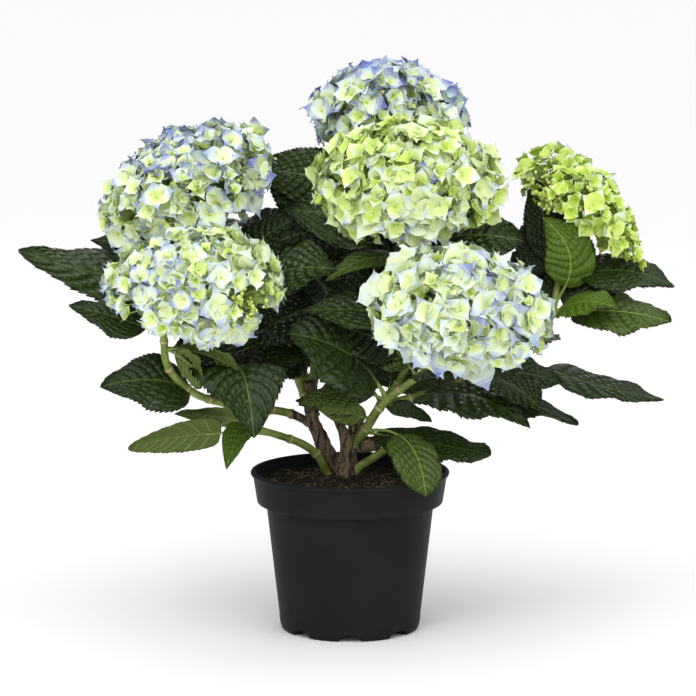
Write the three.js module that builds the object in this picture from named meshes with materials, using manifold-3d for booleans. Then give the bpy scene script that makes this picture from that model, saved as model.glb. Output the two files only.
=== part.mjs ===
// A young mophead hydrangea in its round black nursery pot, about 0.62 m across and 0.54 m tall.
// Millimetres, +Z up. The origin is the centre of the pot's flat underside, +X runs along the
// widest spread of the crown, and -Y is the side that the lowest flower heads lean towards.
import * as THREE from "three";
import { mergeVertices } from "three/addons/utils/BufferGeometryUtils.js";
import Module from "manifold-3d";

const wasm = await Module();
wasm.setup();

// ---- driving dimensions ----
const GAP = 0.4; // clearance between neighbouring solids
const MERGE_DISTANCE = 1e-4; // vertices closer than this are one

const POT = {
  height: 153,
  rimRadius: 95, // outside of the lip
  lipHeight: 3,
  lipOverhang: 1.2,
  bandFootRadius: 88.8, // outside of the rim band at its lower edge
  bandFootHeight: 123.5,
  neckRadius: 79.7, // outside of the body just under the band
  neckHeight: 118,
  heelRadius: 67.8, // outside of the body above its rounded lower corner
  heelHeight: 14,
  footRadius: 64.5,
  footWidth: 9, // the ring that the pot stands on
  padRadius: 16, // flat disc in the middle of the underside
  floorRise: 6.6, // underside of the floor between ring and disc
  wall: 2,
  floor: 2.4,
  segments: 28,
};
const HEEL_TURNS = [35, 65]; // degrees round the heel's curve at which it has a corner
const NOTCH = { count: 8, width: 21, length: 30, inset: 2.5, height: 6.2 }; // slots through the foot
const DRAIN = { count: 8, radius: 4.5, circle: 38, length: 12 }; // holes through the floor
const SOIL_LEVEL = 143;
const FLARE = { height: 9, extra: 3 }; // root flare of the woody trunks, above the soil
const STUB = { sunk: 8, flare: 1.3 }; // a pruned stub starts inside its trunk, and is wider there

const COLOURS = {
  pot: [0x2b2b2c, 0.45],
  soil: [0x2e2219, 0.95],
  wood: [0x4a3528, 0.85],
  green: [0x9db05c, 0.5],
  leaf: [0x2c4620, 0.4],
};

// Limbs: centre-line points and the radius at each, from the foot to the tip.
const LIMBS = {
  trunk_left: {
    kind: "wood",
    flare: true,
    path: [[-13, 48, 143], [-24, 46, 166], [-33, 43, 186], [-39, 40, 207], [-41, 37, 231]],
    radii: [8, 7, 6.6, 5.6, 5],
  },
  trunk_centre: {
    kind: "wood",
    flare: true,
    path: [[-3, 28, 143], [-2.5, 27, 160], [-1, 25, 181]],
    radii: [10, 9, 8.6],
    stubs: [
      { to: [-9, 24, 195], radius: 4.4 },
      { to: [4, 27, 201], radius: 3.4 },
      { to: [12, 30, 197], radius: 3.2 },
    ],
  },
  stub_right: {
    kind: "green",
    path: [[4, 26, 148], [18, 19, 158], [35, 10, 171]],
    radii: [4.6, 4.4, 4.3],
  },
  stem_lower_left: {
    kind: "green",
    path: [[-34, 42, 188], [-55, 36, 201], [-100, 0, 214], [-148, -45, 235], [-175, -75, 277],
      [-160, -88, 312]],
    radii: [4.8, 4.3, 4.2, 4.2, 4, 3.8],
  },
  stem_upper_left: {
    kind: "green",
    path: [[-43, 36, 218], [-62, 38, 262], [-95, 34, 320], [-130, 24, 372], [-148, 18, 405]],
    radii: [4.6, 4.4, 4.2, 4, 3.8],
  },
  stem_top: {
    kind: "green",
    path: [[-36, 43, 208], [-30, 54, 290], [0, 64, 360], [25, 74, 430], [34, 80, 475]],
    radii: [4.6, 4.4, 4.2, 4, 3.8],
  },
  shoot_right: {
    kind: "green",
    path: [[4, 24, 172], [14, 14, 187], [32, 0, 219], [48, -8, 232], [69, -20, 250],
      [99, -60, 283], [103, -92, 305]],
    radii: [5.4, 4.9, 4.5, 4, 3.9, 3.8, 3.6],
  },
  stem_centre: {
    kind: "green",
    path: [[31, 4, 217], [50, 6, 242], [64, 0, 300], [58, -22, 370], [55, -38, 415]],
    radii: [4, 3.9, 3.9, 3.8, 3.6],
  },
  stem_far_right: {
    kind: "green",
    path: [[33, 5, 216], [62, 14, 221], [110, 25, 235], [150, 25, 255], [189, 22, 286],
      [200, 26, 340], [214, 30, 395]],
    radii: [4.2, 4, 3.9, 3.8, 3.8, 3.6, 3.4],
  },
  shoot_left: {
    kind: "green",
    path: [[-24, 38, 143], [-30, 32, 160], [-47, 20, 175], [-66, 8, 184], [-86, -6, 193]],
    radii: [4.8, 4.6, 4.2, 3.9, 3.5],
  },
  stem_back_left: {
    kind: "green",
    path: [[-37, 46, 203], [-46, 82, 238], [-47, 118, 285]],
    radii: [4.4, 4.2, 4],
  },
  stem_back_right: {
    kind: "green",
    path: [[2, 34, 166], [16, 50, 186], [32, 65, 209], [60, 90, 235], [90, 124, 275]],
    radii: [4.4, 4.2, 4.2, 4, 3.8],
  },
};

// Flower heads: centre, overall width, depth and height of the dome, and the way it leans
// (degrees from upright, towards a bearing measured from +X round to +Y).
const HEADS = {
  head_top: { at: [36, 80, 489], size: [156, 144, 96], lean: 8, bearing: 90, colour: 0x8f9bd8 },
  head_centre: { at: [55, -38, 436], size: [184, 140, 122], lean: 22, bearing: 270, colour: 0xd6e59a },
  head_upper_left: { at: [-150, 15, 425], size: [184, 144, 102], lean: 26, bearing: 205, colour: 0xc4d6b4 },
  head_lower_left: { at: [-147, -90, 338], size: [176, 140, 106], lean: 22, bearing: 250, colour: 0xd0dcae },
  head_lower_right: { at: [102, -110, 320], size: [176, 140, 112], lean: 20, bearing: 290, colour: 0xdfe8cc },
  head_far_right: { at: [220, 32, 404], size: [150, 118, 76], lean: 37, bearing: 5, colour: 0xc3d77c },
  head_back_left: { at: [-48, 135, 312], size: [150, 130, 92], lean: 24, bearing: 100, colour: 0xcfdca6 },
  head_back_right: { at: [96, 142, 300], size: [138, 124, 86], lean: 26, bearing: 70, colour: 0xc9d7b8 },
};

// On a dome of radius 1: how far the underside is flattened, and the height and pitch of its lumps.
const HEAD_SHAPE = { underside: 0.82, lumpHeight: 0.035, lumpPitch: 0.62 };

// Sprays of leaves round one node of a limb. A leaf row is its bearing from +X round to +Y and
// its rise (degrees), its reach from node to tip, its width, how far its middle arches up, and how
// far its upper face leans towards -Y (degrees, less than none shows the underside there).
const SPRAYS = {
  leaves_far_left: {
    limb: "stem_upper_left",
    along: 0.62,
    leaves: [[-166, 9, 210, 68, -12, 30], [-177, 15, 144, 60, 4, 40]],
  },
  leaves_left_middle: {
    limb: "stem_lower_left",
    along: 0.93,
    leaves: [[-178, 22, 108, 52, 8, 42]],
  },
  leaves_left: {
    limb: "stem_lower_left",
    along: 0.66,
    leaves: [[-141, 0, 102, 76, 8, 36], [-112, 28, 84, 52, 6, -20], [-20, 2, 68, 50, 10, 40]],
  },
  leaves_low_left: {
    limb: "shoot_left",
    along: 0.78,
    leaves: [[-163, -2, 148, 56, 2, -40], [-178, 12, 100, 46, 4, 30]],
  },
  leaf_folded_left: {
    limb: "shoot_left",
    along: 0.97,
    leaves: [[-116, -19, 84, 34, 14, 0]],
  },
  leaves_front_left: {
    limb: "stem_lower_left",
    along: 0.36,
    leaves: [[-84, -8, 124, 90, 42, 0], [-120, 42, 80, 50, 8, 20]],
  },
  leaves_middle: {
    limb: "stem_upper_left",
    along: 0.5,
    leaves: [[-50, 18, 130, 84, 16, 52], [-95, 12, 90, 66, 14, 40], [165, 4, 90, 60, 8, 30]],
  },
  leaves_upper: {
    limb: "stem_top",
    along: 0.6,
    leaves: [[-178, 28, 102, 66, 8, 50], [162, 50, 98, 60, 8, 50], [-140, 4, 92, 66, 10, 45]],
  },
  leaves_under_centre: {
    limb: "stem_centre",
    along: 0.72,
    leaves: [[176, 16, 126, 80, 12, 45], [-10, 2, 120, 72, 14, 45]],
  },
  leaves_centre: {
    limb: "stem_centre",
    along: 0.42,
    leaves: [[-148, 16, 132, 66, 12, 45], [20, 14, 100, 66, 10, 45]],
  },
  leaves_front_centre: {
    limb: "shoot_right",
    along: 0.3,
    leaves: [[-147, 34, 136, 96, 14, 40], [-178, -2, 86, 46, 12, 40]],
  },
  leaves_mid_right: {
    limb: "shoot_right",
    along: 0.5,
    leaves: [[165, 55, 70, 56, 6, 40], [-60, 10, 60, 44, 6, 30]],
  },
  leaf_pale_centre: {
    limb: "shoot_right",
    along: 0.17,
    leaves: [[-172, 17, 62, 40, 0, -30]],
  },
  leaves_over_rim: {
    limb: "shoot_right",
    along: 0.1,
    leaves: [[-34, -5, 142, 60, 4, 24], [-70, -15, 136, 52, 30, 10]],
  },
  leaves_right_low: {
    limb: "stem_far_right",
    along: 0.12,
    leaves: [[-34, -2, 144, 78, 10, 34], [-8, -5, 164, 60, 4, 32]],
  },
  leaves_far_low: {
    limb: "stem_far_right",
    along: 0.47,
    leaves: [[-15, -16, 160, 56, -2, 24], [75, -2, 110, 62, 14, 0]],
  },
  leaves_right_head: {
    limb: "stem_far_right",
    along: 0.78,
    leaves: [[-112, 62, 92, 58, 6, 70], [150, 72, 116, 44, 4, 75], [100, 24, 96, 58, 10, 0]],
  },
  leaves_far_right: {
    limb: "stem_far_right",
    along: 0.66,
    leaves: [[0, 10, 120, 60, 8, 26], [-22, 1, 120, 62, 2, 28], [-60, 20, 84, 50, 10, 40]],
  },
  leaves_back_left: {
    limb: "stem_back_left",
    along: 0.5,
    leaves: [[100, -6, 150, 76, 20, 0], [165, 6, 140, 72, 16, 20]],
  },
  leaves_back_right: {
    limb: "stem_back_right",
    along: 0.62,
    leaves: [[98, -8, 142, 74, 20, 0], [22, 4, 140, 72, 16, 20]],
  },
  leaves_back_top: {
    limb: "stem_top",
    along: 0.42,
    leaves: [[65, 18, 132, 72, 14, -20], [128, 14, 128, 70, 14, -20]],
  },
  leaves_back_upper_left: {
    limb: "stem_upper_left",
    along: 0.74,
    leaves: [[105, 12, 126, 70, 14, -20]],
  },
};
const LEAF_THICKNESS = 9; // an allowance for the blade's waves and folds
const LEAF_WAVE = 2.5; // how far the outer part of a blade waves out of its arch
const NODE_COLLAR = 13; // reach of the knot of stalks round a node

// Half outline of a leaf with its stalk, from the node (0) to the tip (1): [along, half width].
const LEAF_OUTLINE = [[0, 0], [0.05, 0.16], [0.22, 0.22], [0.38, 0.86], [0.6, 1], [0.84, 0.6], [1, 0]];

// ---- joining and cutting ----
function solidOf(geometry) {
  const bare = geometry.clone();
  bare.deleteAttribute("normal");
  bare.deleteAttribute("uv");
  const merged = mergeVertices(bare, MERGE_DISTANCE);
  return new wasm.Manifold(new wasm.Mesh({
    numProp: 3,
    vertProperties: new Float32Array(merged.attributes.position.array),
    triVerts: new Uint32Array(merged.index.array),
  }));
}

function geometryOf(solid) {
  const mesh = solid.getMesh();
  const geometry = new THREE.BufferGeometry();
  geometry.setAttribute("position", new THREE.BufferAttribute(new Float32Array(mesh.vertProperties), 3));
  geometry.setIndex(new THREE.BufferAttribute(new Uint32Array(mesh.triVerts), 1));
  geometry.computeVertexNormals();
  return geometry;
}

// The largest connected body of a solid: the crumbs that a cut leaves are dropped.
function largest(solid) {
  const bodies = solid.decompose();
  return bodies.reduce((best, body) => (body.volume() > best.volume() ? body : best), bodies[0]);
}

// Moves every vertex of a geometry by a function of its position.
function reshape(geometry, move) {
  const position = geometry.attributes.position;
  const point = new THREE.Vector3();
  for (let i = 0; i < position.count; i += 1) {
    point.fromBufferAttribute(position, i);
    const moved = move(point);
    position.setXYZ(i, moved.x, moved.y, moved.z);
  }
  return geometry;
}

// Smooth, repeatable unevenness between -1 and 1 over space.
function lumps(point, pitch, phase) {
  const k = (2 * Math.PI) / pitch;
  return (Math.sin(k * point.x + phase) + Math.sin(k * point.y + 1.7 * phase)
    + Math.sin(k * (point.z + 0.4 * point.x) + 2.3 * phase)) / 3;
}

const radians = THREE.MathUtils.degToRad;

// Unit vector of a bearing (from +X round to +Y) and a rise above the level, in degrees.
function heading(bearing, rise) {
  const level = Math.cos(radians(rise));
  return new THREE.Vector3(
    level * Math.cos(radians(bearing)),
    level * Math.sin(radians(bearing)),
    Math.sin(radians(rise)),
  );
}

// ---- the pot and what fills it ----
function lathed(profile, segments) {
  const points = profile.map(([radius, height]) => new THREE.Vector2(radius, height));
  return new THREE.LatheGeometry(points, segments).rotateX(Math.PI / 2);
}

// Inside radius of the pot's wall at a height, the wall following the outside.
function innerRadius(height) {
  const steps = [
    [POT.heelHeight, POT.heelRadius],
    [POT.neckHeight, POT.neckRadius],
    [POT.bandFootHeight + POT.wall, POT.bandFootRadius],
    [POT.height, POT.rimRadius - POT.lipOverhang],
  ];
  const upper = Math.max(1, steps.findIndex(([level]) => level >= height));
  const [[z0, r0], [z1, r1]] = [steps[upper - 1], steps[upper]];
  return r0 + ((height - z0) / (z1 - z0)) * (r1 - r0) - POT.wall;
}

// A point on the rounded corner between foot and wall, a quarter of an ellipse.
function heelCorner(turn) {
  return [
    POT.footRadius + (POT.heelRadius - POT.footRadius) * Math.sin(radians(turn)),
    POT.heelHeight * (1 - Math.cos(radians(turn))),
  ];
}

function potSolid() {
  const floorTop = POT.floorRise + POT.floor;
  const foot = POT.footRadius;
  const wallTop = POT.rimRadius - POT.lipOverhang;
  const profile = [
    [0, 0],
    [POT.padRadius, 0],
    [POT.padRadius + 2, POT.floorRise],
    [foot - POT.footWidth - 1, POT.floorRise],
    [foot - POT.footWidth, 0],
    [foot, 0],
    ...HEEL_TURNS.map(heelCorner),
    [POT.heelRadius, POT.heelHeight],
    [POT.neckRadius, POT.neckHeight],
    [POT.bandFootRadius, POT.bandFootHeight],
    [wallTop, POT.height - POT.lipHeight],
    [POT.rimRadius, POT.height - POT.lipHeight / 2],
    [wallTop, POT.height],
    [innerRadius(POT.height), POT.height],
    [innerRadius(POT.bandFootHeight + POT.wall), POT.bandFootHeight + POT.wall],
    [innerRadius(POT.neckHeight), POT.neckHeight],
    [innerRadius(POT.heelHeight), POT.heelHeight],
    [foot - POT.wall, floorTop],
    [0, floorTop],
  ];
  let pot = solidOf(lathed(profile, POT.segments));
  for (let i = 0; i < NOTCH.count; i += 1) {
    const turn = (2 * Math.PI * i) / NOTCH.count;
    const slot = new THREE.BoxGeometry(NOTCH.length, NOTCH.width, 2 * NOTCH.height);
    slot.translate(foot - POT.footWidth - NOTCH.inset + NOTCH.length / 2, 0, 0).rotateZ(turn);
    pot = pot.subtract(solidOf(slot));
  }
  for (let i = 0; i < DRAIN.count; i += 1) {
    const turn = (2 * Math.PI * i) / DRAIN.count;
    const hole = new THREE.CylinderGeometry(DRAIN.radius, DRAIN.radius, DRAIN.length, 5)
      .rotateX(Math.PI / 2);
    hole.translate(DRAIN.circle * Math.cos(turn), DRAIN.circle * Math.sin(turn), floorTop);
    pot = pot.subtract(solidOf(hole));
  }
  return largest(pot);
}

function rootBallSolid() {
  const base = POT.floorRise + POT.floor + GAP;
  const side = (height) => [innerRadius(height) - GAP, height];
  const profile = [
    [0, base],
    [POT.footRadius - POT.wall - GAP, base],
    side(POT.heelHeight + GAP),
    side(POT.neckHeight),
    side(POT.bandFootHeight + POT.wall),
    side(SOIL_LEVEL - GAP),
    [0, SOIL_LEVEL - GAP],
  ];
  return solidOf(lathed(profile, POT.segments));
}

// ---- limbs ----
function limbCurve(limb) {
  const points = limb.path.map(([x, y, z]) => new THREE.Vector3(x, y, z));
  return new THREE.CatmullRomCurve3(points, false, "centripetal");
}

// Radius of a limb part of the way along it: the stated radii joined by straight tapers.
function limbRadius(limb, along, height) {
  const place = along * (limb.radii.length - 1);
  const lower = Math.min(limb.radii.length - 2, Math.floor(place));
  const taper = THREE.MathUtils.lerp(limb.radii[lower], limb.radii[lower + 1], place - lower);
  const rise = (height - SOIL_LEVEL) / FLARE.height;
  return limb.flare ? taper + FLARE.extra * Math.max(0, 1 - rise) ** 2 : taper;
}

// A round rod bent along a curve: each ring of a cylinder is laid square across the curve.
function bentRod(curve, radiusAt, sides, steps, grow) {
  const rod = new THREE.CylinderGeometry(1, 1, 1, sides, steps);
  const frames = curve.computeFrenetFrames(steps, false);
  return reshape(rod, (p) => {
    const ring = Math.round((p.y + 0.5) * steps);
    const centre = curve.getPointAt(ring / steps);
    const radius = radiusAt(ring / steps, centre.z) + grow;
    const end = ring === 0 ? -grow : ring === steps ? grow : 0;
    return centre
      .addScaledVector(frames.tangents[ring], end)
      .addScaledVector(frames.normals[ring], p.x * radius)
      .addScaledVector(frames.binormals[ring], -p.z * radius);
  });
}

// The foot of a trunk is cut flat and level at the soil: its lowest ring is brought to that level.
function levelFoot(geometry, grow) {
  const lowest = SOIL_LEVEL + FLARE.extra;
  return reshape(geometry, (p) => (p.z < lowest ? p.clone().setZ(SOIL_LEVEL - grow) : p));
}

function limbSolid(limb, grow = 0) {
  const curve = limbCurve(limb);
  const steps = 2 * (limb.path.length - 1);
  const rod = bentRod(curve, (t, height) => limbRadius(limb, t, height), limb.flare ? 9 : 5, steps, grow);
  const grounded = limb.path[0][2] === SOIL_LEVEL;
  let solid = solidOf(grounded ? levelFoot(rod, grow) : rod);
  for (const stub of limb.stubs ?? []) {
    const top = new THREE.Vector3(...limb.path.at(-1));
    const root = top.clone().setZ(top.z - STUB.sunk);
    const line = new THREE.LineCurve3(root, new THREE.Vector3(...stub.to));
    const radiusAt = (t) => stub.radius * THREE.MathUtils.lerp(STUB.flare, 1, t);
    solid = solid.add(solidOf(bentRod(line, radiusAt, 6, 1, grow)));
  }
  return solid;
}

// ---- flower heads ----
// A dome of florets: a ball flattened below, swollen by lumps as big as a few florets, scaled to
// its width, depth and height, and leant over.
function headSolid(head, grow = 0) {
  const [width, depth, height] = head.size;
  const phase = head.at[0] * 0.05 + head.at[2] * 0.03;
  const lean = new THREE.Quaternion().setFromAxisAngle(
    heading(head.bearing + 90, 0),
    radians(head.lean),
  );
  const dome = reshape(new THREE.IcosahedronGeometry(1, 2), (p) => {
    const below = p.z < 0 ? HEAD_SHAPE.underside : 1;
    const swell = 1 + HEAD_SHAPE.lumpHeight * lumps(p, HEAD_SHAPE.lumpPitch, phase);
    return new THREE.Vector3(
      p.x * swell * (width / 2 + grow),
      p.y * swell * (depth / 2 + grow),
      p.z * swell * below * (height / 2 + grow),
    ).applyQuaternion(lean).add(new THREE.Vector3(...head.at));
  });
  return solidOf(dome);
}

// ---- leaves ----
// One leaf as a thin pad: its half outline turned into a spindle, pressed flat, and laid along an
// arch from the node to the tip.
function leafSolid(node, [bearing, rise, reach, width, arch, lean], grow) {
  const forward = heading(bearing, rise);
  const facing = heading(-90, 90 - lean);
  const normal = facing.addScaledVector(forward, -facing.dot(forward)).normalize();
  const across = new THREE.Vector3().crossVectors(forward, normal);
  const outline = LEAF_OUTLINE.map(([along, half]) => new THREE.Vector2(half, along));
  const spindle = new THREE.LatheGeometry(outline, 4);
  const leaf = reshape(spindle, (p) => {
    const half = Math.hypot(p.x, p.z);
    const side = half > 0.01 ? grow / half : 0;
    const beyond = p.y === 0 ? -grow : p.y === 1 ? grow : 0;
    const along = p.y + beyond / reach;
    const thickness = LEAF_THICKNESS / (0.35 + 0.65 * half);
    const wave = LEAF_WAVE * p.y * lumps(p, 1.3, bearing);
    return node.clone()
      .addScaledVector(forward, along * reach)
      .addScaledVector(across, p.x * (width / 2 + side))
      .addScaledVector(normal, 4 * arch * along * (1 - along) + wave)
      .addScaledVector(normal, p.z * (thickness / 2 + side));
  });
  return solidOf(leaf);
}

function spraySolid(spray, grow = 0) {
  const node = limbCurve(LIMBS[spray.limb]).getPointAt(spray.along);
  const collar = new THREE.OctahedronGeometry(NODE_COLLAR + 2 * grow).translate(node.x, node.y, node.z);
  return spray.leaves.reduce(
    (whole, leaf) => whole.add(leafSolid(node, leaf, grow)),
    solidOf(collar),
  );
}

// ---- the assembly ----
const plant = new THREE.Group();
plant.name = "hydrangea";
let taken = null; // everything placed so far, swollen by the clearance

function place(name, solid, swollen, colour, roughness) {
  const free = taken ? largest(solid.subtract(taken)) : solid;
  taken = taken ? taken.add(swollen) : swollen;
  const material = new THREE.MeshStandardMaterial({ color: colour, roughness, metalness: 0 });
  const mesh = new THREE.Mesh(geometryOf(free), material);
  mesh.name = name;
  plant.add(mesh);
}

const pot = potSolid();
place("pot", pot, pot, ...COLOURS.pot);
const rootBall = rootBallSolid();
place("root_ball", rootBall, rootBall, ...COLOURS.soil);
for (const [name, head] of Object.entries(HEADS)) {
  place(name, headSolid(head), headSolid(head, GAP), head.colour, 0.8);
}
for (const [name, limb] of Object.entries(LIMBS)) {
  place(name, limbSolid(limb), limbSolid(limb, GAP), ...COLOURS[limb.kind]);
}
for (const [name, spray] of Object.entries(SPRAYS)) {
  place(name, spraySolid(spray), spraySolid(spray, 2 * GAP), ...COLOURS.leaf);
}

export default plant;
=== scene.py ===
"""A mophead hydrangea in its black nursery pot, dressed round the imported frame.

The pot, the compost, the limbs, the leaves and the flower heads are a class each. A class holds its
sizes, works its surfaces out as whole arrays of points, and gives them their finishes. Lengths are in
metres, and a name that ends in _mm is in millimetres.
"""

from __future__ import annotations

import logging
from dataclasses import dataclass, field, replace
from enum import Enum

import bpy
import numpy as np
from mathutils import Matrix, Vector


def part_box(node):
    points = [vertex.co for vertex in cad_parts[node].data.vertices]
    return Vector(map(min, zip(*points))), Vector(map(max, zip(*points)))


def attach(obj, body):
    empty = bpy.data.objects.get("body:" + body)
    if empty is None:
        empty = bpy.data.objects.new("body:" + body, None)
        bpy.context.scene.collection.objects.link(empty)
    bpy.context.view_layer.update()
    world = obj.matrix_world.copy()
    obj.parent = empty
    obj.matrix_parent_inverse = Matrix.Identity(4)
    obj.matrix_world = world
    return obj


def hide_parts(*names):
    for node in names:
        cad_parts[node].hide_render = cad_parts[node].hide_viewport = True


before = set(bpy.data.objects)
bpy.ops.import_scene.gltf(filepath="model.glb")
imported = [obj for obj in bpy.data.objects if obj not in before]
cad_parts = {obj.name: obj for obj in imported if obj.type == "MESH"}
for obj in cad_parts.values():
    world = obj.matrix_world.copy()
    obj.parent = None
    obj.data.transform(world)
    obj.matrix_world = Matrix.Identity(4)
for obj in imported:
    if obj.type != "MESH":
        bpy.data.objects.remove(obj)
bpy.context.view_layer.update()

log = logging.getLogger("hydrangea")

MM = 0.001
SEED = 20


# ---- numbers, curves and grids ----
def linear(colour: str) -> tuple[float, float, float, float]:
    """Linear light of an sRGB hex colour: each channel through the sRGB curve.

    Args:
        colour: six hex digits, with or without a leading #.
    Returns:
        Red, green, blue and an alpha of 1.
    """
    channels = np.array([int(colour.lstrip("#")[i : i + 2], 16) for i in (0, 2, 4)]) / 255
    light = np.where(channels <= 0.04045, channels / 12.92, ((channels + 0.055) / 1.055) ** 2.4)
    return (*(float(value) for value in light), 1.0)


def unit(vectors: np.ndarray) -> np.ndarray:
    """Vectors over their own lengths, along the last axis."""
    return vectors / np.maximum(np.linalg.norm(vectors, axis=-1, keepdims=True), 1e-12)


def blend(start: np.ndarray, end: np.ndarray, share: np.ndarray) -> np.ndarray:
    """Straight mix: start plus share times the way to end."""
    return start + (end - start) * share


def eased(share: np.ndarray) -> np.ndarray:
    """Smooth step: 3x^2 - 2x^3 between 0 and 1, level outside."""
    held = np.clip(share, 0, 1)
    return held * held * (3 - 2 * held)


def heading(bearing: float, rise: float) -> np.ndarray:
    """Unit vector of a bearing (degrees from +X round to +Y) and a rise above the level."""
    turn, lift = np.radians(bearing), np.radians(rise)
    return np.array([np.cos(lift) * np.cos(turn), np.cos(lift) * np.sin(turn), np.sin(lift)])


def name_seed(name: str) -> int:
    """A seed that depends on a name alone."""
    return sum(map(ord, name))


def circle(sides: int) -> np.ndarray:
    """Angles once round, at even steps from 0."""
    return np.linspace(0, 2 * np.pi, sides, endpoint=False)


def quadratic(start: np.ndarray, bend: np.ndarray, end: np.ndarray, t: np.ndarray) -> np.ndarray:
    """Curve from start to end, pulled towards bend: (1 - t)^2 start + 2t(1 - t) bend + t^2 end."""
    return (1 - t) ** 2 * start + 2 * t * (1 - t) * bend + t**2 * end


def fibonacci(number: int) -> np.ndarray:
    """Directions spread evenly over a ball: equal steps of height, each a golden angle further round.

    Args:
        number: how many.
    Returns:
        (number, 3) unit vectors.
    """
    step = np.arange(number) + 0.5
    height = 1 - 2 * step / number
    turn = step * np.pi * (3 - np.sqrt(5))
    level = np.sqrt(1 - height**2)
    return np.stack([level * np.cos(turn), level * np.sin(turn), height], axis=-1)


def round_ball(rows: int, columns: int, open_by: float) -> np.ndarray:
    """A ball of radius 1 in rings from its foot up, open by an angle at both ends: (rows, columns, 3).

    Args:
        rows: number of rings.
        columns: points of a ring.
        open_by: the angle, in radians.
    Returns:
        Points on the ball.
    """
    rise = np.linspace(open_by, np.pi - open_by, rows)[::-1, None]
    turn = circle(columns)
    wide, high = np.sin(rise), np.cos(rise)
    return np.stack([wide * np.cos(turn), wide * np.sin(turn), high + 0 * turn], axis=-1)


def smooth_path(points: np.ndarray, count: int) -> np.ndarray:
    """Catmull-Rom curve through points, laid out again at even distances.

    Between two points the curve is a cubic whose slope at each is half the way between the points on
    either side of it. The ends are continued straight. The dense curve is then read at equal lengths.

    Args:
        points: (k, 3) points to pass through.
        count: how many points to return.
    Returns:
        (count, 3) points.
    """
    ends = np.concatenate([[2 * points[0] - points[1]], points, [2 * points[-1] - points[-2]]])
    place = np.linspace(0, len(points) - 1, 16 * len(points))
    first = np.minimum(place.astype(int), len(points) - 2)
    t = (place - first)[:, None]
    a, b, c, d = (ends[first + i] for i in range(4))
    dense = b + 0.5 * t * (c - a + t * (2 * a - 5 * b + 4 * c - d + t * (3 * (b - c) + d - a)))
    length = np.concatenate([[0], np.cumsum(np.linalg.norm(np.diff(dense, axis=0), axis=1))])
    even = np.linspace(0, length[-1], count)
    return np.stack([np.interp(even, length, dense[:, axis]) for axis in range(3)], axis=-1)


def cross_frames(paths: np.ndarray) -> tuple[np.ndarray, np.ndarray, np.ndarray]:
    """Square frames along paths.

    The tangent is the slope of the path. The first cross vector is the normal of the plane that fits
    the path best, made square to the tangent, and the second is tangent x first.

    Args:
        paths: (..., rows, 3) points.
    Returns:
        Tangent, first and second cross vectors, each (..., rows, 3).
    """
    tangent = unit(np.gradient(paths, axis=-2))
    middle = paths - paths.mean(axis=-2, keepdims=True)
    flat = np.linalg.svd(middle)[2][..., 2:3, :]
    first = unit(flat - (flat * tangent).sum(-1, keepdims=True) * tangent)
    return tangent, first, np.cross(tangent, first)


def swept(paths: np.ndarray, radii: np.ndarray, sides: int) -> np.ndarray:
    """Round tubes along paths: centre + radius (cos a first + sin a second), a going once round.

    Args:
        paths: (n, rows, 3) centre lines.
        radii: (n, rows) or (n, rows, sides) radii.
        sides: points round each ring.
    Returns:
        (n, rows, sides, 3) points.
    """
    _, first, second = cross_frames(paths)
    turn = circle(sides)
    ring = np.cos(turn)[:, None] * first[..., None, :] + np.sin(turn)[:, None] * second[..., None, :]
    wide = radii if radii.ndim == 3 else radii[..., None]
    return paths[..., None, :] + wide[..., None] * ring


def ripples(
    seed: int, around: np.ndarray, along: np.ndarray, turns: tuple[int, int], waves: tuple[float, float]
) -> np.ndarray:
    """Smooth, repeatable unevenness that closes round a limb: a mean of twelve slanted cosines.

    Args:
        seed: picks the cosines.
        around: angle round the limb, radians.
        along: place along the limb, metres.
        turns: fewest and most whole waves round the limb.
        waves: fewest and most waves in a metre of length.
    Returns:
        Values about -1 to 1, of the shape that around and along make together.
    """
    rng = np.random.default_rng(seed)
    total = 0.0
    for _ in range(12):
        whole = rng.integers(turns[0], turns[1] + 1)
        pace = 2 * np.pi * rng.uniform(*waves) * rng.choice([-1, 1])
        total = total + np.cos(whole * around + pace * along + rng.uniform(0, 2 * np.pi))
    return total / 4


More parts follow.
